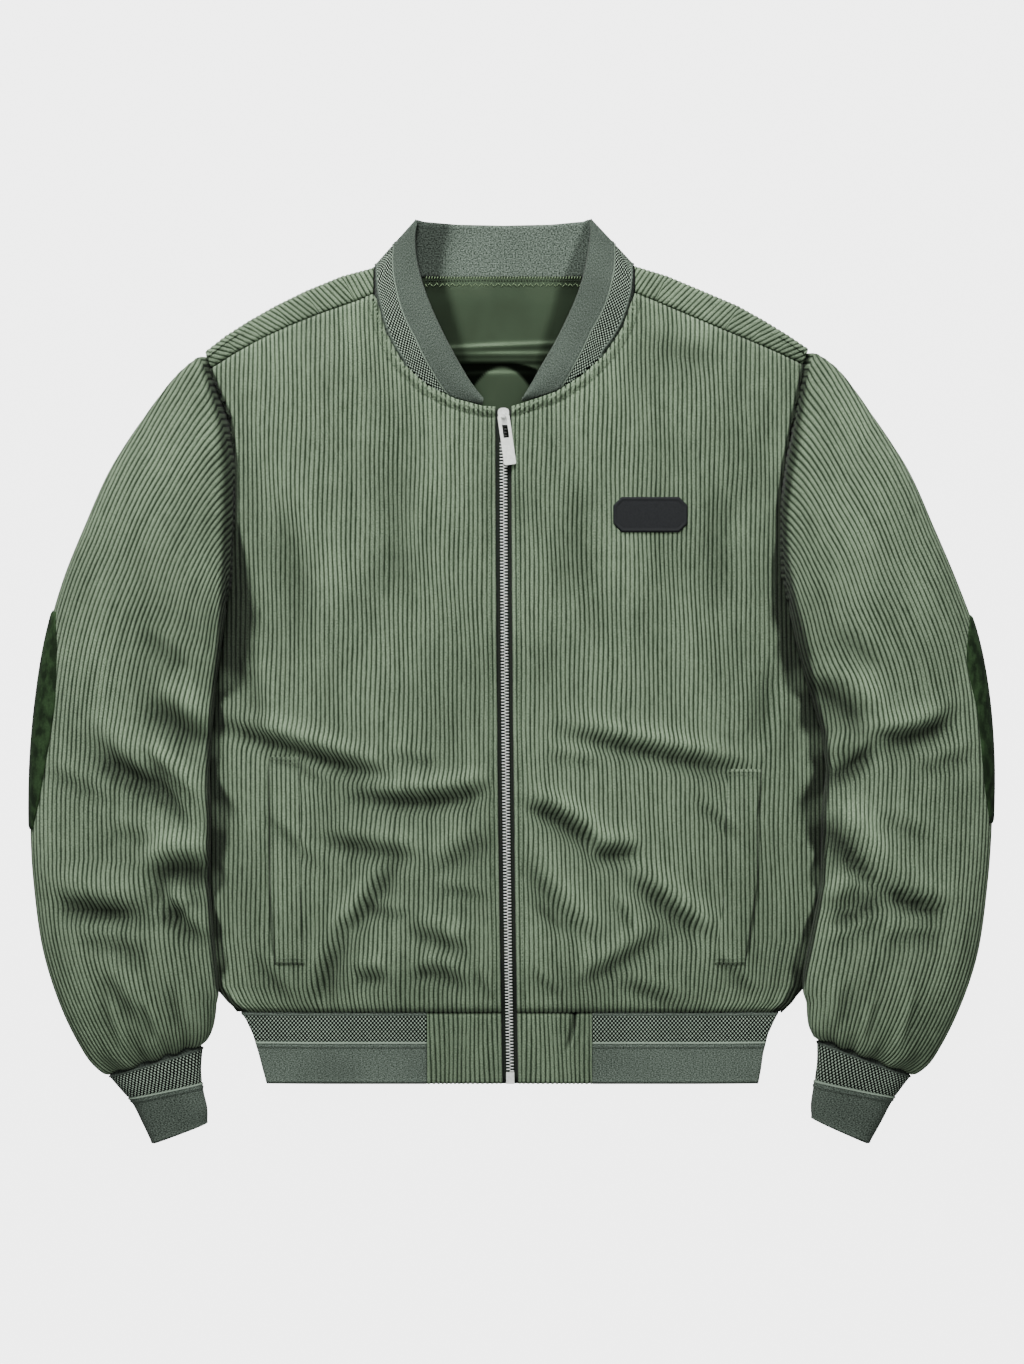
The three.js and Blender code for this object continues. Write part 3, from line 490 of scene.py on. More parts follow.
def hem_height(side: Side, x: Array, y: Array) -> Array:
    """Outer face of the hem band and its tabs above the surface.

    Args:
        side: Side of the band.
        x: Places along X.
        y: Places along Y.

    Returns:
        Heights in millimetres.
    """
    inwards = np.abs(read(HEM_SIDE, 0, y, 1 if side is Side.RIGHT else 2)) - np.abs(x)
    down = share((HEM_SEAM_Y - y) / (HEM_SEAM_Y - HEM_END_Y))
    return mix(HEM_RIM, HEM_TOP - down, ease(inwards / 60)) - 1.6 * bell((x - zip_x(y)) / 18)


def zip_height(y: Array) -> Array:
    """Height of the cloth's edges along the zip."""
    x = zip_x(y) - ZIP_HALF_GAP
    return np.where(y > HEM_SEAM_Y, front_rise(Side.RIGHT, x, y), hem_height(Side.RIGHT, x, y))


@dataclass
class Cloth:
    """Grid of points of a piece of cloth, in millimetres, with the run of its pattern.

    Attributes:
        points: Places, as rows by columns by three.
        across: Distance across the wales or ribs at each point.
        along: Distance along them.
        painted_shade: Shade painted into the colour at each point, from 0 to 1, below 0 a painted highlight, or None.
    """

    points: Array
    across: Array
    along: Array
    painted_shade: Array | None = None

    def normals(self) -> Array:
        """Unit normals at the grid's points."""
        way = np.cross(np.gradient(self.points, axis=1), np.gradient(self.points, axis=0))
        return way / np.maximum(np.linalg.norm(way, axis=2, keepdims=True), 1e-9)

    def up(self) -> int:
        """1 where the grid's own normals point up at its highest points, and -1 where they point down."""
        high = self.points[..., 2] >= np.quantile(self.points[..., 2], 0.9)
        return 1 if self.normals()[high][:, 2].mean() >= 0 else -1

    def raised(self, height: Array) -> "Cloth":
        """The cloth moved out along its normals by a height, even or given at each point."""
        lift = self.normals() * self.up() * np.broadcast_to(height, self.across.shape)[..., None]
        return Cloth(self.points + lift, self.across, self.along, self.painted_shade)

    def area(self) -> float:
        """Area of the cloth's face.

        Returns:
            The area in square metres.
        """
        p = self.points
        one = np.cross(p[1:, :-1] - p[:-1, :-1], p[:-1, 1:] - p[:-1, :-1])
        two = np.cross(p[1:, :-1] - p[1:, 1:], p[:-1, 1:] - p[1:, 1:])
        return float((np.linalg.norm(one, axis=2) + np.linalg.norm(two, axis=2)).sum() / 2e6)

    def piece(self, name: str, thickness: float, down: bool = False) -> bpy.types.Object:
        """Makes the piece from a grid start whose points are moved to their places.

        Args:
            name: Name of the piece.
            thickness: Thickness of the wall in millimetres, given inwards.
            down: True if the outer face looks down.

        Returns:
            The piece, with its pattern's run as a UV map and its wall from Solidify.
        """
        count_i, count_j = self.across.shape
        start = bmesh.new()
        bmesh.ops.create_grid(start, x_segments=count_j - 1, y_segments=count_i - 1, size=1)
        mesh = bpy.data.meshes.new(name)
        start.to_mesh(mesh)
        start.free()
        flat = np.empty(len(mesh.vertices) * 3)
        mesh.vertices.foreach_get("co", flat)
        place = (flat.reshape(-1, 3) + 1) / 2
        j = np.rint(place[:, 0] * (count_j - 1)).astype(int)
        i = np.rint(place[:, 1] * (count_i - 1)).astype(int)
        mesh.vertices.foreach_set("co", (self.points[i, j] / 1000).ravel())
        corner = np.empty(len(mesh.loops), int)
        mesh.loops.foreach_get("vertex_index", corner)
        run = np.stack([self.across[i, j], self.along[i, j]], 1)[corner]
        mesh.uv_layers.new(name="cloth").data.foreach_set("uv", run.ravel())
        # Painted shade, kept as an attribute that darkens the colour in the materials.
        if self.painted_shade is not None:
            depth = np.broadcast_to(self.painted_shade, self.across.shape)[i, j].astype(np.float32)
            mesh.attributes.new("painted_shade", "FLOAT", "POINT").data.foreach_set("value", depth)
        merged = bmesh.new()
        merged.from_mesh(mesh)
        bmesh.ops.remove_doubles(merged, verts=merged.verts, dist=1.5e-4)
        if (self.up() < 0) != down:
            bmesh.ops.reverse_faces(merged, faces=merged.faces)
        merged.to_mesh(mesh)
        merged.free()
        mesh.polygons.foreach_set("use_smooth", np.ones(len(mesh.polygons), bool))
        made = bpy.data.objects.new(name, mesh)
        bpy.context.collection.objects.link(made)
        wall = made.modifiers.new("wall", "SOLIDIFY")
        wall.thickness = thickness / 1000
        wall.offset = -1
        return made


def beads(name: str, unit: bmesh.types.BMesh, places: Array, ways: Array, ups: Array) -> bpy.types.Object:
    """Joins copies of one small shape, each at its place and turned along its way.

    Args:
        name: Name of the joined piece.
        unit: Small shape around the origin, long along X, freed here.
        places: Places of the copies in millimetres.
        ways: Direction of each copy's X axis.
        ups: Direction of each copy's Z axis.

    Returns:
        One object with all the copies.
    """
    corners = np.array([v.co[:] for v in unit.verts])
    faces = np.array([[v.index for v in f.verts] for f in unit.faces])
    unit.free()
    x = ways / np.linalg.norm(ways, axis=1, keepdims=True)
    y = np.cross(ups, x)
    y /= np.linalg.norm(y, axis=1, keepdims=True)
    z = np.cross(x, y)
    turned = np.einsum("vk,nkc->nvc", corners, np.stack([x, y, z], 1)) + places[:, None, :]
    shifted = faces[None] + (np.arange(len(places)) * len(corners))[:, None, None]
    mesh = bpy.data.meshes.new(name)
    mesh.from_pydata(turned.reshape(-1, 3) / 1000, [], shifted.reshape(-1, faces.shape[1]).tolist())
    mesh.polygons.foreach_set("use_smooth", np.ones(len(mesh.polygons), bool))
    made = bpy.data.objects.new(name, mesh)
    bpy.context.collection.objects.link(made)
    return made


def stitches(name: str, size: tuple[float, float, float], places: Array, ways: Array) -> bpy.types.Object:
    """Joins one bead of thread for each stitch.

    Args:
        name: Name of the joined piece.
        size: Length, width and height of a stitch in millimetres.
        places: Places of the stitches in millimetres.
        ways: Direction of each stitch.

    Returns:
        One object with all the stitches.
    """
    unit = bmesh.new()
    bmesh.ops.create_icosphere(unit, subdivisions=1, radius=0.5)
    bmesh.ops.scale(unit, vec=size, verts=unit.verts)
    unit.verts.index_update()
    return beads(name, unit, places, ways, np.tile([0.0, 0.0, 1.0], (len(places), 1)))


def colour(red: int, green: int, blue: int) -> tuple[float, float, float, float]:
    """Colour given as 0 to 255 on screen, as the shader's linear values."""
    shares = (red / 255, green / 255, blue / 255)
    return (*(c / 12.92 if c <= 0.04045 else ((c + 0.055) / 1.055) ** 2.4 for c in shares), 1.0)


class Shader:
    """A material being made, with short calls for the nodes it needs."""

    def __init__(self, name: str, **uniform: float) -> None:
        """Starts the material.

        Args:
            name: Name of the material.
            **uniform: Values that are the same all over, by socket name with _ for a space.
        """
        self.material = bpy.data.materials.new(name)
        self.material.use_nodes = True
        self.tree = self.material.node_tree
        self.surface = self.tree.nodes["Principled BSDF"]
        for key, value in uniform.items():
            self.surface.inputs[key.replace("_", " ")].default_value = value
        coordinates = self.tree.nodes.new("ShaderNodeTexCoord")
        self.place = coordinates.outputs["Object"]
        self.run = coordinates.outputs["UV"]
        split = self.tree.nodes.new("ShaderNodeSeparateXYZ")
        self.tree.links.new(self.run, split.inputs[0])
        self.across, self.along = split.outputs[0], split.outputs[1]
        # Painted shade, read from each piece's attribute; 0 where a piece has none.
        depth = self.tree.nodes.new("ShaderNodeAttribute")
        depth.attribute_name = "painted_shade"
        self.painted_shade = depth.outputs["Fac"]

    def feed(self, socket: bpy.types.NodeSocket, value: object) -> None:
        """Links a socket, or sets it where the value is plain.

        Args:
            socket: Input that is fed.
            value: Another node's output, or a plain value.
        """
        if isinstance(value, bpy.types.NodeSocket):
            self.tree.links.new(value, socket)
        else:
            socket.default_value = value

    def math(self, operation: str, a: object, b: object = 0.0) -> bpy.types.NodeSocket:
        """Result of a Math node.

        Args:
            operation: The node's operation.
            a: First value or output.
            b: Second value or output.

        Returns:
            The node's output.
        """
        node = self.tree.nodes.new("ShaderNodeMath")
        node.operation = operation
        self.feed(node.inputs[0], a)
        self.feed(node.inputs[1], b)
        return node.outputs[0]

    def wave(self, value: object, pitch: float) -> bpy.types.NodeSocket:
        """Cosine of a distance, once each pitch."""
        return self.math("COSINE", self.math("MULTIPLY", value, 2 * math.pi / pitch))

    def span(self, value: object, low: float, high: float, to: tuple[float, float] = (0, 1)) -> bpy.types.NodeSocket:
        """Soft step of a value, onto a new range.

        Args:
            value: Value or output that is read.
            low: Value at the step's start.
            high: Value at the step's end.
            to: Results at the start and at the end.

        Returns:
            The step's output.
        """
        node = self.tree.nodes.new("ShaderNodeMapRange")
        node.interpolation_type = "SMOOTHSTEP"
        self.feed(node.inputs["Value"], value)
        node.inputs["From Min"].default_value = low
        node.inputs["From Max"].default_value = high
        node.inputs["To Min"].default_value = to[0]
        node.inputs["To Max"].default_value = to[1]
        return node.outputs[0]

    def noise(self, source: object, scale: tuple[float, float, float], detail: float = 2) -> bpy.types.NodeSocket:
        """Noise on a coordinate.

        Args:
            source: Coordinate that the noise reads.
            scale: Scale along each axis.
            detail: How many finer layers it has.

        Returns:
            Noise between 0 and 1.
        """
        mapping = self.tree.nodes.new("ShaderNodeMapping")
        self.feed(mapping.inputs["Vector"], source)
        mapping.inputs["Scale"].default_value = scale
        node = self.tree.nodes.new("ShaderNodeTexNoise")
        self.feed(node.inputs["Vector"], mapping.outputs[0])
        node.inputs["Scale"].default_value = 1
        node.inputs["Detail"].default_value = detail
        return node.outputs["Fac"]

    def blend(self, factor: object, a: object, b: object, way: str = "MIX") -> bpy.types.NodeSocket:
        """Colour between a and b.

        Args:
            factor: Share of b.
            a: First colour or output.
            b: Second colour or output.
            way: How the two are blended.

        Returns:
            The blended colour.
        """
        node = self.tree.nodes.new("ShaderNodeMix")
        node.data_type = "RGBA"
        node.blend_type = way
        self.feed(node.inputs[0], factor)
        self.feed(node.inputs[6], a)
        self.feed(node.inputs[7], b)
        return node.outputs[2]

    def shade(self, base: object, value: object) -> bpy.types.NodeSocket:
        """Colour made darker or lighter.

        Args:
            base: Colour or output.
            value: Grey value that it is multiplied by.

        Returns:
            The shaded colour.
        """
        grey = self.tree.nodes.new("ShaderNodeCombineColor")
        for socket in grey.inputs:
            self.feed(socket, value)
        return self.blend(1.0, base, grey.outputs[0], "MULTIPLY")

    def finish(self, base: object, height: object | None = None, distance: float = 0.0002) -> bpy.types.Material:
        """Joins colour, darkened by the painted shade, and bump to the surface.

        Args:
            base: Colour.
            height: Bump's height from 0 to 1, or None.
            distance: Bump's depth in metres.

        Returns:
            The material.
        """
        # The colour is multiplied by one minus the painted shade: darker where shade is painted, lighter where it is
        # below 0.
        self.feed(self.surface.inputs["Base Color"], self.shade(base, self.math("SUBTRACT", 1.0, self.painted_shade)))
        if height is not None:
            bump = self.tree.nodes.new("ShaderNodeBump")
            bump.inputs["Distance"].default_value = distance
            bump.inputs["Strength"].default_value = 1
            self.feed(bump.inputs["Height"], height)
            self.tree.links.new(bump.outputs[0], self.surface.inputs["Normal"])
        return self.material


@dataclass(frozen=True)
class Corduroy:
    """Wide-wale cotton corduroy: soft pile with grooves painted darker as shade, slightly mottled."""

    pile: tuple = colour(122, 141, 115)
    # The groove colour is painted shade in the grooves between the wales.
    groove: tuple = colour(42, 54, 39)
    slot: str = "corduroy"

    def material(self) -> bpy.types.Material:
        """Makes the corduroy.

        Returns:
            The material.
        """
        s = Shader("corduroy", Roughness=0.95, Specular_IOR_Level=0.1, Sheen_Weight=0.05, Sheen_Roughness=0.5)
        crest = s.math("ABSOLUTE", s.math("SINE", s.math("MULTIPLY", s.across, math.pi / WALE)))
        uneven = s.noise(s.run, (0.7, 0.10, 1), 3)
        streaks = s.noise(s.run, (0.13, 0.012, 1), 3)
        wander = s.math("ADD", s.math("MULTIPLY", uneven, 0.75), s.math("MULTIPLY", streaks, 0.75))
        crest = s.span(s.math("ADD", crest, s.math("SUBTRACT", wander, 0.77)), 0.05, 1.0)
        # Painted shade: the colour falls from the pile colour on the crests to the dark groove colour.
        base = s.blend(crest, self.groove, self.pile)
        patches = s.span(s.noise(s.place, (22, 14, 22), 4), 0.3, 0.7, (0.84, 1.13))
        fibres = s.span(s.noise(s.run, (1.5, 0.8, 1), 3), 0.25, 0.75, (0.6, 1.4))
        base = s.shade(s.shade(base, patches), fibres)
        return s.finish(base, fibres, 0.00035)


class Strip(Enum):
    """Where the stripes of the rib knit end, as shares of the band's width from its seam."""

    PIPING = 0.05
    HONEYCOMB = 0.41
    DOUBLE_PIPING = 0.49


KNIT_BAND = 60.0  # the knit band's width that its pattern is drawn for


@dataclass(frozen=True)
class RibKnit:
    """Fine rib knit with a honeycomb stripe between pipings."""

    lit: tuple = colour(120, 133, 122)
    dark: tuple = colour(33, 42, 34)
    cell: tuple = colour(158, 176, 158)
    ground: tuple = colour(6, 9, 7)
    slot: str = "knit"
    piping: tuple = colour(150, 168, 150)
    cell_size: tuple[float, float] = (3.0, 3.5)

    def material(self) -> bpy.types.Material:
        """Makes the rib knit.

        Returns:
            The material.
        """
        s = Shader("rib_knit", Roughness=0.95, Specular_IOR_Level=0.1, Sheen_Weight=0.05, Sheen_Roughness=0.5)
        grain = s.noise(s.run, (0.8, 1.5, 1), 4)
        plain = s.blend(s.span(grain, 0.3, 0.74), self.dark, self.lit)
        cells = s.math("MULTIPLY", s.wave(s.across, self.cell_size[0]), s.wave(s.along, self.cell_size[1]))
        cells = s.span(cells, 0.1, 0.35)
        comb = s.blend(cells, self.ground, self.cell)
        start, end = (strip.value * KNIT_BAND for strip in (Strip.PIPING, Strip.HONEYCOMB))
        low = s.span(s.along, start - 0.3, start + 0.3)
        high = s.span(s.along, end - 0.3, end + 0.3, (1, 0))
        inside = s.math("MULTIPLY", low, high)
        base = s.blend(inside, plain, comb)
        line_low = s.span(s.along, end - 0.2, end + 0.3)
        line_high = s.span(s.along, end + 1.0, end + 1.5, (1, 0))
        line = s.math("MULTIPLY", line_low, line_high)
        base = s.blend(s.math("MULTIPLY", line, 0.75), base, self.piping)
        patches = s.span(s.noise(s.place, (20, 20, 20), 2), 0.3, 0.7, (0.9, 1.1))
        height = s.math("ADD", s.math("MULTIPLY", inside, cells), s.math("MULTIPLY", grain, 0.12))
        return s.finish(s.shade(base, patches), height, 0.0005)


@dataclass(frozen=True)
class Satin:
    """Dark green satin lining with a soft shine."""

    base: tuple = colour(49, 60, 46)
    slot: str = "satin"

    def material(self) -> bpy.types.Material:
        """Makes the satin.

        Returns:
            The material.
        """
        s = Shader("satin", Roughness=0.38, Specular_Tint=colour(175, 205, 165))
        # Painted shade also dims the satin's reflection.
        shine = s.math("MULTIPLY", s.math("SUBTRACT", 1.0, s.painted_shade), 0.38)
        s.feed(s.surface.inputs["Specular IOR Level"], shine)
        threads = s.noise(s.run, (0.5, 5, 1), 2)
        patches = s.span(s.noise(s.place, (30, 18, 30), 2), 0.3, 0.7, (0.85, 1.12))
        return s.finish(s.shade(self.base, patches), threads, 0.00008)


@dataclass(frozen=True)
class Suede:
    """Dark suede-like cloth of the elbow patches."""

    base: tuple = colour(34, 52, 30)
    slot: str = "suede"

    def material(self) -> bpy.types.Material:
        """Makes the suede.

        Returns:
            The material.
        """
        s = Shader("suede", Roughness=0.85, Specular_IOR_Level=0.12, Sheen_Weight=0.05, Sheen_Roughness=0.4)
        nap = s.noise(s.place, (700, 700, 700), 3)
        brushed = s.span(s.noise(s.place, (160, 80, 160), 3), 0.35, 0.65, (0.5, 1.5))
        fine = s.span(nap, 0.3, 0.7, (0.85, 1.15))
        return s.finish(s.shade(s.shade(self.base, brushed), fine), nap, 0.0002)


@dataclass(frozen=True)
class Twill:
    """Woven cloth with a fine diagonal, for zip tapes, thread and badge."""

    name: str
    base: tuple
    slot: str
    roughness: float = 0.85

    def material(self) -> bpy.types.Material:
        """Makes the woven cloth.

        Returns:
            The material.
        """
        s = Shader(self.name, Roughness=self.roughness, Specular_IOR_Level=0.3)
        split = s.tree.nodes.new("ShaderNodeSeparateXYZ")
        s.tree.links.new(s.place, split.inputs[0])
        diagonal = s.wave(s.math("ADD", split.outputs[0], split.outputs[1]), 0.0009)
        grain = s.noise(s.place, (900, 900, 900), 2)
        tone = s.math("ADD", s.math("MULTIPLY", diagonal, 0.12), s.span(grain, 0.2, 0.8, (0.8, 1.2)))
        return s.finish(s.shade(self.base, tone), tone, 0.00015)


@dataclass(frozen=True)
class Metal:
    """Bright silver metal of the zip, a little worn."""

    name: str = "silver_metal"
    base: tuple = colour(244, 247, 242)
    roughness: float = 0.4
    metallic: float = 0.6
    slot: str = "metal"

    def material(self) -> bpy.types.Material:
        """Makes the metal.

        Returns:
            The material.
        """
        s = Shader(self.name, Roughness=self.roughness, Metallic=self.metallic)
        wear = s.noise(s.place, (400, 400, 400), 3)
        tone = s.span(wear, 0.3, 0.7, (0.86, 1.05))
        return s.finish(s.shade(self.base, tone), wear, 0.00005)


class Finishes:
    """The jacket's materials, each made once."""

    def __init__(self) -> None:
        """Starts with no materials; each is made when first asked for."""
        self.made: dict[object, bpy.types.Material] = {}

    def dress(self, piece: bpy.types.Object, finish: object, nodes: tuple[str, ...] = (), body: str = BODY) -> None:
        """Gives a piece its material and its body, and hides the CAD nodes it stands for.

        Args:
            piece: The piece.
            finish: Its finish.
            nodes: CAD nodes that it stands for.
            body: CAD body that it moves with.
        """
        if finish not in self.made:
            self.made[finish] = finish.material()
        piece.data.materials.clear()
        piece.data.materials.append(self.made[finish])
        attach(piece, body)
        if nodes:
            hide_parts(*nodes)
        LOG.info("%s: %d faces", piece.name, len(piece.data.polygons))

    def cover(self, node: str, finish: object) -> None:
        """Gives a CAD node that stays its finer material.

        Args:
            node: Name of the node.
            finish: Its finish.
        """
        if finish not in self.made:
            self.made[finish] = finish.material()
        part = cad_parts[node]
        for slot in part.material_slots:
            slot.material = self.made[finish]
        LOG.info("%s: kept from the model", node)


CORDUROY = Corduroy()
RIB_KNIT = RibKnit()
THREAD = Twill("thread", colour(84, 97, 79), "corduroy")
EDGE_THREAD = Twill("edge_thread", colour(108, 126, 102), "corduroy")
DARK_THREAD = Twill("dark_thread", colour(30, 38, 28), "corduroy")
TAPE = Twill("zip_tape", colour(20, 26, 19), "tape")
OVERLOCK = Twill("overlock_thread", colour(118, 138, 104), "satin")
BADGE_CLOTH = Twill("badge_cloth", colour(27, 29, 31), "badge")
SILVER = Metal()
PALE_METAL = Metal("pale_metal", colour(248, 252, 244), 0.5, 0.2)


@dataclass
class Fronts:
    """Two fronts cut with upright wales, from the hem seam to neck and shoulder seams."""

    row_step: float = 4.2
    level_top: float = 190.0
    upper_rows: int = 30
    narrow_from: float = -211.0
    tuck: float = 6.0
    flat: tuple[float, float] = (0.262, 0.600)

    def column_x(self, side: Side, s: Array, y: Array) -> tuple[Array, Array]:
        """Place of a wale at a height of the front.

        Args:
            side: Side of the front.
            s: Distance of the wale from the zip edge.
            y: Places along Y.

        Returns:
            X and the distance across the wales, both held at the side edge.
        """
        edge = zip_x(y) + side.sign * ZIP_HALF_GAP
        width = np.abs(body_edge(side, y) - edge)
        full = abs(float(body_edge(side, self.narrow_from) - zip_x(self.narrow_from)) - side.sign * ZIP_HALF_GAP)
        limit = np.where(y < self.narrow_from, full, width)
        held = np.minimum(s, limit)
        drawn_in = held * (1 + (width / full - 1) * (held / full) ** 2)
        reach = np.where(y < self.narrow_from, drawn_in, held)
        plain_x = edge + side.sign * reach
        sway = 1.3 * np.sin(plain_x / 31 + y / 47 + 0.6) * np.sin(y / 83 - plain_x / 60)
        sway = sway + 0.5 * np.sin(y / 17 + plain_x / 12)
        sway += 0.75 * relief(FOLDS[side] + CREASES[side], plain_x, y)
        reach = reach + sway * ease(reach / 25) * ease((width - reach) / 30)
        return edge + side.sign * np.minimum(reach, width), held

    def seam_relief(self, side: Side, x: Array, y: Array) -> Array:
        """Height of edges and topstitched ridges along the seams.

        Args:
            side: Side of the front.
            x: Places along X.
            y: Places along Y.

        Returns:
            Heights in millimetres.
        """
        from_zip = np.abs(x - zip_x(y)) - ZIP_HALF_GAP
        from_neck = distance_to(NECK_SEAM[side], x, y)
        from_top = front_top(side, x) - y
        beyond_neck = np.abs(x) > abs(NECK_SEAM[side][-1, 0])
        pucker = 1 + 0.55 * np.sin((x - side.sign * y) / 0.8)
        neck = 1.5 * bell((from_neck - 4) / 2.8) * pucker - 1.0 * bell((from_neck - 8.6) / 1.3)
        edge = -1.3 * bell(from_zip / 1.1) - 0.7 * bell((from_zip - 5.6) / 1.0)
        shoulder = np.where(beyond_neck, -1.2 * bell(from_top / 1.6), 0)
        hem = -1.9 * bell((y - HEM_SEAM_Y) / 2.0)
        return neck + edge + shoulder + hem

    def cloth(self, side: Side) -> tuple[Cloth, float]:
        """Grid of a front, with its columns along the wales.

        Args:
            side: Side of the front.

        Returns:
            The cloth and the area that it was cut to, in square metres.
        """
        s = np.arange(0, 262, WALE_STEP)
        top = np.full(len(s), 250.0)
        for _ in range(14):
            top = front_top(side, self.column_x(side, s, top)[0])
        level = np.arange(HEM_SEAM_Y, self.level_top, self.row_step)
        share_up = np.linspace(0, 1, self.upper_rows)[:, None]
        upper = mix(self.level_top, top[None, :], share_up)
        y = np.vstack([np.repeat(level[:, None], len(s), 1), upper])
        y[0] += 0.9 * (0.45 - wale_profile(s))
        x, across = self.column_x(side, np.broadcast_to(s, y.shape), y)
        z = front_height(side, x, y)
        area = Cloth(np.stack([x, y, z], 2), across, y).area()
        z = z + self.seam_relief(side, x, y) + wale_profile(across)
        painted_shade = self.shaded(side, x, y)
        t = np.linspace(0, 1, 6)[1:]
        reach = self.tuck * ease((y[:, -1:] + 262) / 20) * ease((262 - y[:, -1:]) / 20)
        tucked_x = x[:, -1:] + side.sign * reach * t
        tucked_z = mix(z[:, -1:], np.minimum(z[:, -1:], 1.6), ease(t) * share(reach / 2))
        lip = np.stack([tucked_x, np.repeat(y[:, -1:], 5, 1), tucked_z], 2)
        points = np.concatenate([np.stack([x, y, z], 2), lip], 1)
        across = np.hstack([across, np.repeat(across[:, -1:], 5, 1)])
        along = np.hstack([y, np.repeat(y[:, -1:], 5, 1)])
        return Cloth(points, across, along, np.hstack([painted_shade, np.repeat(painted_shade[:, -1:], 5, 1)])), area

    def shaded(self, side: Side, x: Array, y: Array) -> Array:
        """Painted shade beside the sleeve, in the folds and along the pocket slits, with painted light above the hem
        seam.

        Args:
            side: Side of the front.
            x: Places along X.
            y: Places along Y.

        Returns:
            Painted shade from 0 to 1, below 0 where painted lighter.
        """
        # Width of the painted shade beside the sleeve, by height.
        beside = {
            Side.RIGHT: rows(
                (-262, 6), (-233, 11), (-194, 5), (-150, 14), (-117, 24), (-62, 10), (-30, 9), (-18, 12), (14, 32),
                (53, 38), (97, 22), (140, 4), (207, 3), (252, 3),
            ),
            Side.LEFT: rows(
                (-262, 6), (-248, 15), (-227, 12), (-200, 5), (-178, 6), (-145, 8), (-121, 19), (-80, 20), (-47, 15),
                (-14, 20), (26, 24), (67, 19), (125, 6), (190, 3), (252, 3),
            ),
        }[side]
        slanted = y - 0.4 * (np.abs(x) - 240)
        broken = 3.5 * np.sin(slanted / 9) + 2.5 * np.sin(slanted / 5.3 + 1)
        width = np.maximum(3, read(beside, 0, slanted, 1) + broken * ease((70 - y) / 60))
        from_side = np.abs(body_edge(side, y)) - np.abs(x)
        # Painted shade in the valley between the front and the sleeve, with a broken edge.
        painted_valley_shade = 0.86 * (1 - ease((from_side - 0.6 * width) / (0.42 * width)))
        painted_valley_shade *= 1 - 0.3 * share(np.sin(slanted / 9 + 1.2)) * ease((40 - y) / 60)
        near_zip = ease((x - zip_x(y)) * side.sign / 24)
        # Painted shade of the folds, faded out near the zip.
        painted_fold_shade = np.clip(shade_of(FOLDS[side] + CREASES[side], x, y), -0.3, 0.75) * near_zip
        # Painted shadow along the outer edge of each pocket welt.
        welts = PocketWelts()
        slit = np.abs(x) - np.abs(welts.edges(side, y)[1])
        inside = ease((y - welts.low_y - 6) / 6) * ease((welts.high_y[side] - 6 - y) / 6)
        slit = 0.65 * bell((slit - 0.8) / 1.1) * inside
        # Painted light: the cloth just above the hem seam is lightened.
        painted_light_by_hem = -0.22 * bell((y - HEM_SEAM_Y - 8) / 9)
        return 1 - (1 - painted_valley_shade) * (1 - painted_fold_shade) * (1 - slit) * (1 - painted_light_by_hem)

    def build(self, finishes: Finishes) -> None:
        """Makes and dresses both fronts.

        Args:
            finishes: Materials.
        """
        for side in Side:
            cloth, area = self.cloth(side)
            piece = cloth.piece(f"cloth_front_{side.value}", 1.2)
            finishes.dress(piece, CORDUROY, (f"front_{side.value}",))


@dataclass
class PocketWelts:
    """Pocket welts cut so that their wales run on with the fronts'."""

    shares: tuple[float, float] = (0.455, 0.64)
    low_y: float = -231.0
    high_y: dict = field(default_factory=lambda: {Side.RIGHT: -61.0, Side.LEFT: -71.0})
    flat: tuple[float, float] = (0.026, 0.172)

    def edges(self, side: Side, y: Array) -> tuple[Array, Array]:
        """X of the welt's inner and outer edges.

        Args:
            side: Side of the welt.
            y: Places along Y.

        Returns:
            X of the edge nearer the zip and of the edge nearer the side seam.
        """
        zip_edge = NECK_SEAM[side][-1]
        top_edge = zip_x(zip_edge[1]) + side.sign * ZIP_HALF_GAP
        corner = (zip_edge[0] - top_edge) / (body_edge(side, 258.0) - top_edge)
        edge = zip_x(y) + side.sign * ZIP_HALF_GAP
        near, far = (mix(edge, body_edge(side, y), corner + (1 - corner) * f) for f in self.shares)
        return near, far

    def build(self, finishes: Finishes) -> None:
        """Makes and dresses both welts.

        Args:
            finishes: Materials.
        """
        for side in Side:
            y = np.linspace(self.low_y, self.high_y[side], 66)[:, None] * np.ones((1, 30))
            near, far = self.edges(side, y)
            t = np.linspace(0, 1, 30)[None, :]
            x = mix(near, far, t)
            across = np.abs(x - zip_x(y)) - ZIP_HALF_GAP
            inwards = np.minimum.reduce([
                np.abs(x - near), np.abs(far - x), y - self.low_y + 0 * x, self.high_y[side] - y + 0 * x,
            ])
            z = front_height(side, x, y) + STITCHED_GAP + WELT - 0.25 - 1.1 * bell(inwards / 1.1)
            z = z + 0.8 * wale_profile(across)
            # Painted shade of the folds, and painted shadow along the welt's outer and inner edges.
            painted_fold_shade = np.clip(shade_of(FOLDS[side] + CREASES[side], x, y), -0.3, 0.6)
            edges = 0.6 * bell((x - far) / 1.3) + 0.3 * bell((x - near) / 0.8)
            painted_shade = 1 - (1 - painted_fold_shade) * (1 - edges)
            piece = Cloth(np.stack([x, y, z], 2), across, y, painted_shade).piece(f"cloth_pocket_welt_{side.value}", 1.0)
            finishes.dress(piece, CORDUROY, (f"pocket_welt_{side.value}",))


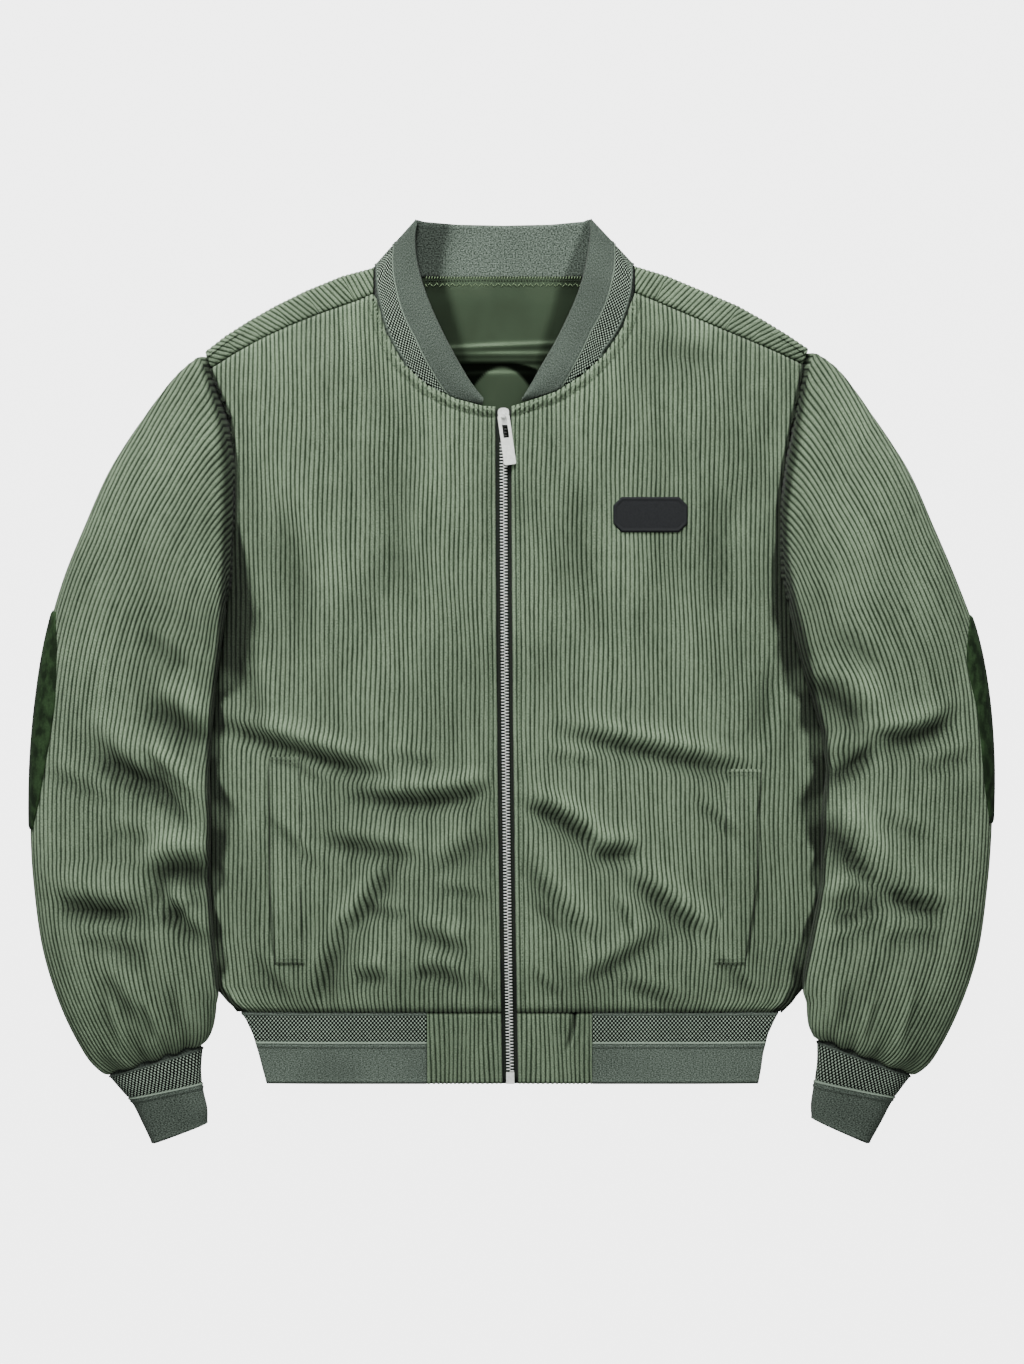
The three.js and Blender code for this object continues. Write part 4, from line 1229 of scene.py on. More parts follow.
@dataclass
class Back:
    """Back panel that lies on the surface, with upright wales on its under face."""

    row_step: float = 12.0
    flat: tuple[float, float] = (0.512, 0.606)

    def build(self, finishes: Finishes) -> None:
        """Makes and dresses the back.

        Args:
            finishes: Materials.
        """
        s = np.arange(-260 + WALE / 2, 260, WALE_STEP)
        neck_right = SHOULDER[Side.RIGHT][0, 2] + 2 * SEAM_GAP
        neck_left = SHOULDER[Side.LEFT][0, 2] - 2 * SEAM_GAP
        right = read(SHOULDER[Side.RIGHT], 2, s, 3) - SEAM_GAP
        left = read(SHOULDER[Side.LEFT], 2, s, 3) - SEAM_GAP
        top = np.where(s < neck_right, right, np.where(s > neck_left, left, NECK_BACK_Y))
        y = mix(HEM_SEAM_Y, top[None, :], np.linspace(0, 1, 24)[:, None])
        x = np.clip(np.broadcast_to(s, y.shape), body_edge(Side.RIGHT, y), body_edge(Side.LEFT, y))
        z = np.full(x.shape, 0.0)
        z = 0.45 * PILE - wale_profile(x)
        at_side = (x <= body_edge(Side.RIGHT, y) + 0.01) | (x >= body_edge(Side.LEFT, y) - 0.01)
        z = np.where(at_side, 0.95, z)
        piece = Cloth(np.stack([x, y, z], 2), x, y).piece("cloth_back", 0.9, down=True)
        finishes.dress(piece, CORDUROY, ("back_panel",))


@dataclass
class Shoulders:
    """The back's turn-over at each shoulder, to the forward seam."""

    flat: tuple[float, float] = (0.066, 0.160)

    def build(self, finishes: Finishes) -> None:
        """Makes and dresses both shoulders.

        Args:
            finishes: Materials.
        """
        for side in Side:
            table = SHOULDER[side]
            length = np.r_[0, np.cumsum(np.hypot(*np.diff(table[:, :2], axis=0).T))]
            at = np.arange(0, length[-1] + 0.4, 0.9)
            row = np.stack([np.interp(at, length, table[:, k]) for k in range(4)], 1)
            fold, seam = row[:, :2], row[:, 2:]
            run = seam - fold
            reach = np.linalg.norm(run, axis=1, keepdims=True)
            run = run / reach
            seam_z = front_height(side, seam[:, 0], seam[:, 1] - SEAM_GAP)
            radius = SHOULDER_FOLD_RADIUS
            under = np.linspace(1, 0.3, 9)
            turn = np.linspace(0, 1, 15)
            top = np.linspace(0.34, 1, 13)
            inner = (reach - SEAM_GAP)
            inwards = np.hstack([
                inner * under, np.repeat(radius * (1 - np.sin(turn * np.pi))[None, :], len(at), 0), inner * top,
            ])
            rise = np.hstack([
                np.zeros((len(at), len(under))), np.repeat(radius * (1 - np.cos(turn * np.pi))[None, :], len(at), 0),
                mix(2 * radius, seam_z[:, None], (top[None, :] - 0.25) / 0.75),
            ])
            plan = fold[:, None, :] + run[:, None, :] * inwards[..., None]
            way = np.gradient(fold, axis=0)
            way /= np.linalg.norm(way, axis=1, keepdims=True)
            offset = plan - fold[:, None, :]
            mirrored = 2 * np.einsum("ijk,ik->ij", offset, way)[..., None] * way[:, None, :] - offset
            on_top = rise > radius
            across = np.where(on_top, fold[:, None, 0] + mirrored[..., 0], plan[..., 0])
            base = Cloth(np.dstack([plan, rise]), across, inwards)
            from_seam = (inner - inwards) * on_top + 20 * ~on_top
            made = base.raised(0.9 * wale_profile(across) - 0.45 * ~on_top - 1.2 * bell(from_seam / 1.6))
            made.points[..., 2] = np.maximum(made.points[..., 2], 0)
            piece = made.piece(f"cloth_shoulder_{side.value}", 1.1)
            finishes.dress(piece, CORDUROY, (f"shoulder_{side.value}",))


def ring_points(side: Side, row: Array, angle: Array, made: list[Fold], clear: bool) -> Array:
    """Points of flattened rings, flat underneath, with folds on top.

    Args:
        side: Side of the sleeve.
        row: Interpolated rows of a sleeve's or cuff's table.
        angle: Angles around the ring, 0 at its outer edge and half a turn at its inner edge.
        made: Folds on its upper face.
        clear: True to keep the ring out of the body.

    Returns:
        Points as rows by angles by three.
    """
    outer_x, outer_y, inner_x, inner_y, height, bow = (row[:, k, None] for k in range(6))
    cosine, sine = np.cos(angle)[None, :], np.sin(angle)[None, :]
    part = 0.5 - 0.5 * np.sign(cosine) * np.abs(cosine) ** 0.8
    x = mix(outer_x, inner_x, part) - side.sign * bow * 4 * part * (1 - part)
    y = mix(outer_y, inner_y, part)
    if clear:
        x = side.sign * np.maximum(np.abs(x), np.abs(body_edge(side, y)) + 2 * SEAM_GAP)
    lift = np.abs(sine) ** 0.75
    equator = height * EQUATOR
    z = np.where(sine >= 0, mix(equator, height, lift), equator * np.maximum(0, 1 - 1.6 * lift))
    z = z + np.where(sine > 0, relief(made, x, y) * ease(sine * 1.6) * ease(height / 30), 0)
    return np.stack([x, y, z], 2)


@dataclass
class Tube:
    """Sleeve or cuff as rings whose pattern runs parallel to the outer edge."""

    side: Side
    table: Array
    made: list[Fold]
    clear: bool
    steps: int
    angles: int = 150

    def __post_init__(self) -> None:
        """Works out the rings and their normals."""
        self.position = np.linspace(0, len(self.table) - 1, (len(self.table) - 1) * self.steps + 1)
        angle = np.linspace(-math.pi, math.pi, 2 * self.angles + 1)
        rings = ring_points(self.side, row_at(self.table, self.position), angle, self.made, self.clear)
        self.rings = rings
        normal = np.cross(np.gradient(rings, axis=1), np.gradient(rings, axis=0))
        normal /= np.maximum(np.linalg.norm(normal, axis=2, keepdims=True), 1e-9)
        normal[:, 0] = normal[:, -1] = (normal[:, 0] + normal[:, -1]) / 2
        self.normal = normal * np.sign(normal[:, self.angles + self.angles // 2, 2].mean())

    def along_rings(self, pick: Array) -> Array:
        """Distance along each ring.

        Args:
            pick: Points of the ring, in the order that they are passed.

        Returns:
            Distances from the first of them, a row for each ring.
        """
        step = np.linalg.norm(np.diff(self.rings[:, pick], axis=1), axis=2)
        return np.hstack([np.zeros((len(step), 1)), np.cumsum(np.maximum(step, 1e-6), axis=1)])

    def sampled(self, distances: Array, gather_from: float = 99.0) -> tuple[Array, Array, Array]:
        """Points at given distances from the outer edge, first on the underside and then on top.

        Args:
            distances: Distances in millimetres, rising from 0.
            gather_from: Row of the table from which the cloth is drawn in.

        Returns:
            Points, normals and distances, each held at the underarm line.
        """
        points, normals, held = [], [], []
        runs = {way: self.along_rings(self.angles + way * np.arange(self.angles + 1)) for way in (-1, 1)}
        straight_to = int(np.argmin(np.abs(self.position - 7.0)))
        gather_at = int(np.argmin(np.abs(self.position - gather_from)))
        gathered = gather_from < self.position[-1]
        wanted = np.r_[-distances[2::2][::-1], distances]
        for i, (ring, place) in enumerate(zip(self.rings, self.position)):
            slip = float(np.interp(place, range(5), CAP_SLIP)) if gathered else 0.0
            straight = 1 - float(ease((place - 4.5) / 3)) if gathered else 0.0
            around = {}
            for way, run in runs.items():
                full = run[i, -1] ** (1 - straight) * run[straight_to, -1] ** straight - way * slip
                if gathered and i > gather_at:
                    full = run[i, -1] * (run[gather_at, -1] / run[i, -1]) ** 0.85
                around[way] = slip + way * run[i] * full / run[i, -1]
            run = np.r_[around[-1][::-1], around[1][1:]]
            at = np.clip(wanted, run[0], run[-1])
            both = np.hstack([ring, self.normal[i]])
            value = np.stack([np.interp(at, run, both[:, k]) for k in range(6)], 1)
            points.append(value[:, :3])
            normals.append(value[:, 3:])
            held.append(at)
        return np.array(points), np.array(normals), np.array(held)


@dataclass
class Sleeves:
    """Two sleeves with wales parallel to their outer edge, gathered into the cuffs."""

    gathers: float = 1.5
    tuck: float = 6.0
    flat: tuple[float, float] = (0.335, 0.600)

    def closed_up(self, side: Side, points: Array) -> Array:
        """Draws the sleeve's inner edge up against the body.

        Args:
            side: Side of the sleeve.
            points: Points sampled from its rings.

        Returns:
            The points, moved along X near the inner edge.
        """
        inner = np.abs(points[..., 0]).min(axis=1, keepdims=True)
        outer = np.abs(points[..., 0]).max(axis=1, keepdims=True)
        part = (outer - np.abs(points[..., 0])) / (outer - inner)
        gap = inner - np.abs(body_edge(side, points[:, points.shape[1] - 1, 1]))[:, None] - SEAM_GAP
        gap = np.clip(gap, 0, 7) * ease((points[..., 1] + 262) / 30)
        closer = points.copy()
        closer[..., 0] -= side.sign * gap * part**6
        return closer

    def bent(self, side: Side, points: Array) -> Array:
        """Bends the wales of the sleeve's upper face over its folds.

        Args:
            side: Side of the sleeve.
            points: Points sampled from its rings.

        Returns:
            The points, moved along X away from both edges.
        """
        part = np.abs(points[..., 0])
        inner, outer = part.min(axis=1, keepdims=True), part.max(axis=1, keepdims=True)
        part = (outer - part) / (outer - inner)
        sway = relief(SLEEVE_FOLDS[side] + SLEEVE_CREASES[side], points[..., 0], points[..., 1])
        sway = sway * 0.6 + 1.4 * np.sin(points[..., 1] / 37 + part * 4)
        moved = points.copy()
        moved[..., 0] += side.sign * sway * ease(part * 3) * ease((1 - part) * 4) * (points[..., 2] > 10)
        moved[..., 2] += relief(SLEEVE_CREASES[side], points[..., 0], points[..., 1]) * (points[..., 2] > 10)
        return moved

    def shaded(self, side: Side, points: Array) -> Array:
        """Painted shade beside the body, on the underside and in the folds.

        Args:
            side: Side of the sleeve.
            points: Points sampled from its rings.

        Returns:
            Painted shade from 0 to 1, below 0 where painted lighter.
        """
        # Width of the painted shade beside the body, by height.
        width = {
            Side.RIGHT: rows((-262, 4), (30, 4), (53, 6), (97, 10), (140, 13), (218, 15), (255, 8)),
            Side.LEFT: rows(
                (-262, 4), (-47, 5), (-14, 6), (26, 11), (67, 9), (125, 8), (190, 12), (232, 9), (262, 5),
            ),
        }[side]
        width = read(width, 0, points[..., 1], 1)
        beside = np.abs(points[..., 0]) - np.abs(body_edge(side, points[..., 1]))
        painted_valley_shade = 0.8 * (1 - ease((beside - 0.6 * width) / (0.5 * width))) * ease((points[..., 1] + 275) / 25)
        # Points lower than 8 mm, on the underside, get at least 0.3 painted shade.
        low = points[..., 2] < 8
        made = SLEEVE_FOLDS[side] + SLEEVE_CREASES[side]
        painted_fold_shade = np.clip(shade_of(made, points[..., 0], points[..., 1]), -0.3, 0.7)
        return np.where(low, np.maximum(painted_valley_shade, 0.3), 1 - (1 - painted_valley_shade) * (1 - painted_fold_shade))

    def build(self, finishes: Finishes) -> None:
        """Makes and dresses both sleeves.

        Args:
            finishes: Materials.
        """
        for side in Side:
            tube = Tube(side, SLEEVE[side], SLEEVE_FOLDS[side], True, 8)
            distances = np.arange(0, 200, WALE_STEP)
            points, normals, held = tube.sampled(distances, 9.5)
            along = np.repeat(tube.position[:, None], held.shape[1], 1) * 42
            points = self.bent(side, self.closed_up(side, points))
            to_cuff = np.hypot(*(points[-1][None, :, :2] - points[..., :2]).transpose(2, 0, 1))
            puff = self.gathers * np.sin(held / 5.3 + 0.8 * np.sin(held / 17)) * bell(to_cuff / 24) * (held > 0)
            armhole = -1.4 * bell(np.hypot(*(points[0][None, :, :2] - points[..., :2]).transpose(2, 0, 1)) / 2.0)
            cuff_edge = -1.8 * bell(to_cuff / 2.2)
            lift = wale_profile(held) + puff + armhole + cuff_edge
            painted_shade = self.shaded(side, points)
            points = points + normals * lift[..., None]
            points[..., 2] = np.maximum(points[..., 2], 0)
            tucked = points[:1] - (0.0, 0.0, 1.5) * (points[:1, :, 2:] > 3)
            tucked = tucked - [side.sign * self.tuck, 0, 0]
            tucked[..., 2] = np.clip(tucked[..., 2] * 0.55, 2.0, 6.0)
            points = np.vstack([tucked, points])
            points[:2, :, 2] = np.maximum(points[:2, :, 2], 1.25)
            held, along, painted_shade = (np.vstack([value[:1], value]) for value in (held, along, painted_shade))
            piece = Cloth(points, held, along, painted_shade).piece(f"cloth_sleeve_{side.value}", 1.2)
            finishes.dress(piece, CORDUROY, (f"sleeve_{side.value}",))


@dataclass
class ElbowPatches:
    """Suede patches around the outer edge of each sleeve."""

    flat: tuple[float, float] = (0.048, 0.150)

    def build(self, finishes: Finishes) -> None:
        """Makes and dresses both patches.

        Args:
            finishes: Materials.
        """
        for side in Side:
            table = ELBOW_PATCH[side]
            position = np.linspace(table[0, 0], table[-1, 0], 60)
            reach = row_at(table, np.interp(position, table[:, 0], np.arange(len(table))))[:, 1]
            angle = np.linspace(-0.29, 1.6, 200)
            row = row_at(SLEEVE[side], position)
            rings = ring_points(side, row, angle, SLEEVE_FOLDS[side], True)
            shown = np.abs(row[:, :1]) - np.abs(rings[..., 0])
            points = []
            for ring, inwards, limit in zip(rings, shown, reach):
                upper = angle > 0
                end = np.interp(limit, np.maximum.accumulate(inwards[upper]), angle[upper])
                at = np.linspace(-0.29, end, 28)
                points.append(np.stack([np.interp(at, angle, ring[:, k]) for k in range(3)], 1))
            points = np.array(points)
            along = np.repeat((position * 45)[:, None], 28, 1)
            across = np.repeat(np.linspace(0, 40, 28)[None, :], len(position), 0)
            base = Cloth(points, across, along)
            i, j = np.meshgrid(np.linspace(0, 1, len(position)), np.linspace(0, 1, 28), indexing="ij")
            rim = np.minimum.reduce([i, 1 - i, (1 - j) * 0.4]) * 150
            made = base.raised(PATCH_GAP + SUEDE - 1.0 * bell(rim / 1.6))
            piece = made.piece(f"cloth_elbow_patch_{side.value}", 1.0)
            finishes.dress(piece, Suede(), (f"elbow_patch_{side.value}",))


def piping(width_share: Array) -> Array:
    """Height of the pipings and rolled edges across a knit band.

    Args:
        width_share: Share of the band's width from its seam.

    Returns:
        Heights in millimetres.
    """
    seam = 0.9 * bell((width_share - 0.025) / 0.02) - 1.6 * bell(width_share / 0.012)
    middle = (Strip.HONEYCOMB.value + Strip.DOUBLE_PIPING.value) / 2
    double = 0.9 * bell((width_share - middle + 0.022) / 0.013) + 0.9 * bell((width_share - middle - 0.022) / 0.013)
    groove = -0.5 * bell((width_share - Strip.HONEYCOMB.value + 0.005) / 0.01)
    free = -1.5 * bell((1 - width_share) / 0.015) + 0.35 * bell((width_share - 0.96) / 0.02)
    return seam + double + groove + free


@dataclass
class Cuffs:
    """Two rib knit cuffs."""

    flat: tuple[float, float] = (0.148, 0.068)

    def build(self, finishes: Finishes) -> None:
        """Makes and dresses both cuffs.

        Args:
            finishes: Materials.
        """
        for side in Side:
            tube = Tube(side, CUFF[side], [], False, 16)
            points, normals, held = tube.sampled(np.arange(0, 110, 1.9))
            width_share = np.repeat((tube.position / tube.position[-1])[:, None], held.shape[1], 1)
            lift = piping(width_share) - 0.4
            points = points + normals * lift[..., None]
            points[..., 2] = np.maximum(points[..., 2], 0)
            up_the_sleeve = (points[:1] - points[3:4]) * [1.6, 1.6, 0]
            centre = points[0].mean(axis=0)
            inside = mix(centre, points[:1], 0.93) + up_the_sleeve
            points = np.vstack([inside, points])
            held, width_share = (np.vstack([value[:1], value]) for value in (held, width_share))
            # Painted shade along the seam under the sleeve, and the whole cuff 0.2 darker.
            painted_shade = 0.5 * bell(width_share / 0.03) + 0.2
            piece = Cloth(points, held, width_share * KNIT_BAND, painted_shade).piece(f"cloth_cuff_{side.value}", 1.8)
            finishes.dress(piece, RIB_KNIT, (f"cuff_{side.value}",))


@dataclass
class HemBand:
    """Rib knit hem band in three stretches, with two corduroy tabs at the zip."""

    rows_across: int = 60
    front_flat: tuple[float, float] = (0.150, 0.059)
    back_flat: tuple[float, float] = (0.442, 0.059)
    tab_flat: tuple[float, float] = (0.064, 0.059)

    def front(self, side: Side, finishes: Finishes) -> None:
        """Makes a front stretch of the band.

        Args:
            side: Side of the stretch.
            finishes: Materials.
        """
        y = mix(HEM_SEAM_Y - SEAM_GAP, HEM_END_Y, np.linspace(0, 1, self.rows_across))[:, None]
        edge = read(HEM_SIDE, 0, y, 1 if side is Side.RIGHT else 2)
        t = np.linspace(0, 1, 70)[None, :]
        x = mix(edge, HEM_TAB_EDGE[side] + side.sign * SEAM_GAP, t)
        y = y + 0 * x
        width_share = (HEM_SEAM_Y - y) / (HEM_SEAM_Y - HEM_END_Y)
        z = hem_height(side, x, y)
        ripple = 0.15 * np.sin(x / 13) * bell(width_share / 0.5)
        z = z + piping(width_share) - 0.3 + ripple
        # Painted shade along the seam under the front's edge.
        painted_shade = 0.7 * bell(width_share / 0.02)
        under = np.stack([x[:1] * 0.995, y[:1] + 4, z[:1] - 2.2], 2)
        points = np.vstack([under, np.stack([x, y, z], 2)])
        x, width_share, painted_shade = (np.vstack([value[:1], value]) for value in (x, width_share, painted_shade))
        piece = Cloth(points, x, width_share * KNIT_BAND, painted_shade).piece(f"cloth_hem_{side.value}", 1.9)
        finishes.dress(piece, RIB_KNIT, (f"hem_{side.value}",))

    def back(self, finishes: Finishes) -> None:
        """Makes the back stretch, whose outer face looks down.

        Args:
            finishes: Materials.
        """
        y = mix(HEM_SEAM_Y - SEAM_GAP, HEM_END_Y, np.linspace(0, 1, self.rows_across))[:, None]
        t = np.linspace(0, 1, 100)[None, :]
        x = mix(read(HEM_SIDE, 0, y, 1), read(HEM_SIDE, 0, y, 2), t)
        y = y + 0 * x
        width_share = (HEM_SEAM_Y - y) / (HEM_SEAM_Y - HEM_END_Y)
        z = np.maximum(0, 0.7 - piping(width_share))
        cloth = Cloth(np.stack([x, y, z], 2), x, width_share * KNIT_BAND)
        piece = cloth.piece("cloth_hem_back", 1.6, down=True)
        finishes.dress(piece, RIB_KNIT, ("hem_back",))

    def tab(self, side: Side, finishes: Finishes) -> None:
        """Makes a corduroy tab at the zip.

        Args:
            side: Side of the tab.
            finishes: Materials.
        """
        s = np.arange(0, 90, WALE_STEP)[None, :]
        y = mix(HEM_SEAM_Y - SEAM_GAP, HEM_END_Y, np.linspace(0, 1, 40))[:, None] + 0 * s
        edge = zip_x(y) + side.sign * ZIP_HALF_GAP
        width = np.abs(HEM_TAB_EDGE[side] - edge)
        held = np.minimum(s, width)
        sway = 0.9 * np.sin(held / 9 + y / 23) * ease(held / 12) * ease((width - held) / 8)
        x = edge + side.sign * (held + sway)
        down = (HEM_SEAM_Y - y) / (HEM_SEAM_Y - HEM_END_Y)
        y[-1] += 0.8 * (0.45 - wale_profile(held[-1]))
        z = hem_height(side, x, y)
        pleat = relief(folds((53, -266, 46, -300, 2, 2.6, 3.0)), x, y) if side is Side.LEFT else 0 * x
        swell = 0.7 * np.sin(held / 8.5 + 1) * np.sin(down * 3)
        edges = -1.2 * bell(held / 1.2) - 1.4 * bell((1 - down) / 0.02) - 1.5 * bell(down / 0.03)
        z = z + wale_profile(held) + pleat + swell + edges
        # Painted shade along the seam and in the pleat, and the tab 0.12 darker all over.
        painted_shade = 0.8 * bell(down / 0.025) + 0.5 * share(-pleat / 1.2) + 0.12
        points = np.vstack([np.stack([x[:1], y[:1] + 3.5, z[:1] - 2.0], 2), np.stack([x, y, z], 2)])
        held, y, painted_shade = (np.vstack([value[:1], value]) for value in (held, y, painted_shade + 0 * x))
        piece = Cloth(points, held, y, painted_shade).piece(f"cloth_hem_tab_{side.value}", 1.6)
        finishes.dress(piece, CORDUROY, (f"hem_tab_{side.value}",))

    def build(self, finishes: Finishes) -> None:
        """Makes and dresses the band and its tabs.

        Args:
            finishes: Materials.
        """
        self.back(finishes)
        for side in Side:
            self.front(side, finishes)
            self.tab(side, finishes)


@dataclass
class Collar:
    """Rib knit collar: the back stretch's inner face, and a band turned over on each side."""

    seam_gap: float = 0.2
    crown: float = 2.0
    hidden: tuple[float, ...] = (0, 0, 0, 0, 0, 0.22, 0.5, 0.62)
    band_flat: tuple[float, float] = (0.172, 0.054)
    back_flat: tuple[float, float] = (0.196, 0.043)
    top_edge: Array = field(default_factory=lambda: rows(
        (-76, 380.8), (-70, 379.4), (-42, 377), (-6, 376.2), (30, 377), (58, 379.6), (63, 381.2),
    ))

    def band(self, side: Side, finishes: Finishes) -> None:
        """Makes a side band, from its turn at the corner down to the zip.

        Args:
            side: Side of the band.
            finishes: Materials.
        """
        position = np.linspace(0, 7, 85)
        row = row_at(COLLAR[side], position)
        turn_t = np.linspace(0, 1, 7)[:-1]
        turn_rows = np.repeat(row[:1], len(turn_t), 0)
        row = np.vstack([turn_rows, row])
        seam, free = row[:, :2], row[:, 2:4]
        from_corner = np.r_[np.zeros(len(turn_t)), position]
        v = np.linspace(0, 1, 56)[None, :] * (1 - 0.05 * share(1 - from_corner / 0.3) ** 2)[:, None]
        gap = (free - seam) / np.linalg.norm(free - seam, axis=1, keepdims=True) * self.seam_gap
        plan = mix((seam + gap)[:, None, :], free[:, None, :], v[..., None])
        plan[..., 1] += 2.4 * v * share(1 - from_corner / 2.5)[:, None]
        z = mix(row[:, 4, None], row[:, 5, None], v) + self.crown * np.sin(np.pi * v)
        count = len(turn_t)
        bulge = 1.3 * np.sin(np.pi * turn_t) ** 0.7
        plan[:count, :, 0] += side.sign * bulge[:, None]
        plan[:count, :, 1] += bulge[:, None]
        z[:count] = mix(2.1, z[:count], (1 - np.cos(turn_t * np.pi / 2))[:, None])
        length = np.r_[0, np.cumsum(np.hypot(*np.diff(mix(seam, free, 0.5), axis=0).T))]
        width_share = mix(np.interp(np.maximum(0, np.r_[turn_t - 1, position]), range(8), self.hidden)[:, None], 1, v)
        middle = mix(seam, free, 0.5)
        way = np.gradient(middle[count - 1 :], axis=0)
        way = np.vstack([np.repeat(way[:1], count - 1, 0), way]) / np.linalg.norm(way, axis=1).mean()
        across = length[:, None] + np.einsum("ijk,ik->ij", plan - middle[:, None, :], way)
        # Painted shade along the seam, and the rib beyond the honeycomb 0.27 darker.
        painted_shade = 0.15 * bell(v / 0.02) + 0.27 * (width_share > Strip.HONEYCOMB.value)
        base = Cloth(np.dstack([plan, z]), across, width_share * KNIT_BAND, painted_shade)
        made = base.raised(piping(width_share) - 0.3)
        lower = made.points[:, :1] - (0, 0, 2.6) - (free - seam)[:, None, :] @ np.eye(2, 3) * 0.1
        lower[..., 2] = np.maximum(lower[..., 2], 2.1)
        made.points = np.concatenate([lower, made.points], 1)
        made.across, made.along, made.painted_shade = (np.hstack([g[:, :1], g]) for g in (made.across, made.along, painted_shade))
        piece = made.piece(f"cloth_collar_{side.value}", 1.9)
        finishes.dress(piece, RIB_KNIT, (f"collar_{side.value}",))

    def back(self, finishes: Finishes) -> None:
        """Makes the back stretch.

        Args:
            finishes: Materials.
        """
        t = np.linspace(0, 1, 110)[None, :]
        v = np.linspace(0, 1, 40)[:, None]
        low = NECK_BACK_Y - 0.6
        high = np.interp(t * 139 - 76, self.top_edge[:, 0], self.top_edge[:, 1])
        y = mix(low, high, v)
        right = np.maximum(-104, -78.6 - (379 - y) * 0.935)
        left = np.minimum(92.5, 65.0 + (379 - y) * 0.935)
        x = mix(right, left, t)
        z = 2.4 + 0.12 * np.sin(x / 15) * v - 0.9 * bell((1 - v) / 0.03) + 0.25 * bell((v - 0.93) / 0.03) + 0 * x
        along = mix(0.52, 0.97, v) * KNIT_BAND + 0 * x
        # Painted shadows cast by the side bands, and painted shade along the neck seam.
        painted_band_shadow_right = 0.62 * (1 - ease((x + 58 - 0.18 * (y - 350)) / 12))
        painted_band_shadow_left = 0.5 * ease((x - 41 - (y - low) * 0.385) / 5)
        painted_shade = np.maximum(painted_band_shadow_right, painted_band_shadow_left) + 0.3 * bell(v / 0.04)
        cloth = Cloth(np.stack([x, y, z], 2), x, along, painted_shade)
        piece = cloth.piece("cloth_collar_back", 1.2)
        finishes.dress(piece, RIB_KNIT, ("collar_back",))

    def build(self, finishes: Finishes) -> None:
        """Makes and dresses the collar.

        Args:
            finishes: Materials.
        """
        self.back(finishes)
        for side in Side:
            self.band(side, finishes)


@dataclass
class Lining:
    """Satin lining where it shows in the neck."""

    flat: tuple[float, float] = (0.205, 0.122)

    def build(self, finishes: Finishes) -> None:
        """Makes and dresses the lining.

        Args:
            finishes: Materials.
        """
        y = np.linspace(NECK_BACK_Y + 2.5, LINING[-1, 0], 96)[:, None]
        t = np.linspace(0, 1, 64)[None, :]
        x = mix(read(LINING, 0, y, 1), read(LINING, 0, y, 2), t)
        y = y + 0 * x
        base = CLOTH + SEAM_GAP + SATIN
        sag = np.sin(np.pi * t)
        middle = (x + 8) / 34
        ridge = 1.7 * bell((y - 276 - 1.5 * middle) / 2.6) + 1.6 * bell((y - 269.5) / 2.4)
        step = 2.2 * ease((y - 262) / 3) + 1.4 * ease((257 - y - 1.5 * middle**2) / 5)
        soft = 0.5 * np.sin(x / 23 + 1) * np.sin(y / 19) + 0.4 * np.sin(x / 9 + y / 30)
        z = mix(2.0, base + (ridge + step + soft) * sag, ease((335 - y) / 26))
        # Painted shadow under the fold across the lining, between these two curves.
        top = 263.6 - 0.0095 * np.maximum(0, x + 2) ** 2
        tongue = 258 - 0.031 * (x + 8) ** 2
        shadow = 0.96 * ease((top - y) / 1.6) * ease((y - tongue) / 3)
        # Painted shadows from the collar bands, and painted shade under the collar.
        painted_band_shadow_right = 0.6 * (1 - ease((x + 58 + (333 - y) * -0.28) / 9))
        painted_band_shadow_left = 0.55 * ease((x - 38 + (333 - y) * 0.28) / 8)
        painted_shade_under_collar = 0.35 * bell((y - 335) / 2.5) + 0.16 * bell((y - 327) / 9)
        painted_shade = np.maximum(shadow, np.maximum(painted_band_shadow_right, painted_band_shadow_left)) + painted_shade_under_collar
        cloth = Cloth(np.stack([x, y, z], 2), x, y, np.minimum(painted_shade, 0.96))
        piece = cloth.piece("cloth_lining", 0.8)
        finishes.dress(piece, Satin(), ("lining",))
        self.neck_stitches(finishes)

    def neck_stitches(self, finishes: Finishes) -> None:
        """Makes the stitches, the dark line and the loops along the lining's top edge.

        Args:
            finishes: Materials.
        """
        x = np.arange(-70, 58, 2.3)
        turn = np.where(np.arange(len(x)) % 2, 1.0, -1.0)
        flat = np.zeros(len(x))
        for name, finish, y, tilt, size in (
            ("neck_overlock", OVERLOCK, flat + 333.0, flat + 4.0, (2.8, 0.9, 0.8)),
            ("neck_stitches", DARK_THREAD, flat + 330.6, flat, (1.6, 1.1, 0.8)),
            ("neck_loops", OVERLOCK, 327.0 + 0.7 * np.sin(x), turn * 1.1, (3.6, 0.6, 0.6)),
        ):
            places = np.stack([x, y, flat + 2.7 + 0.22 * (333 - y)], 1)
            finishes.dress(stitches(name, size, places, np.stack([flat + 1, tilt, flat], 1)), finish)


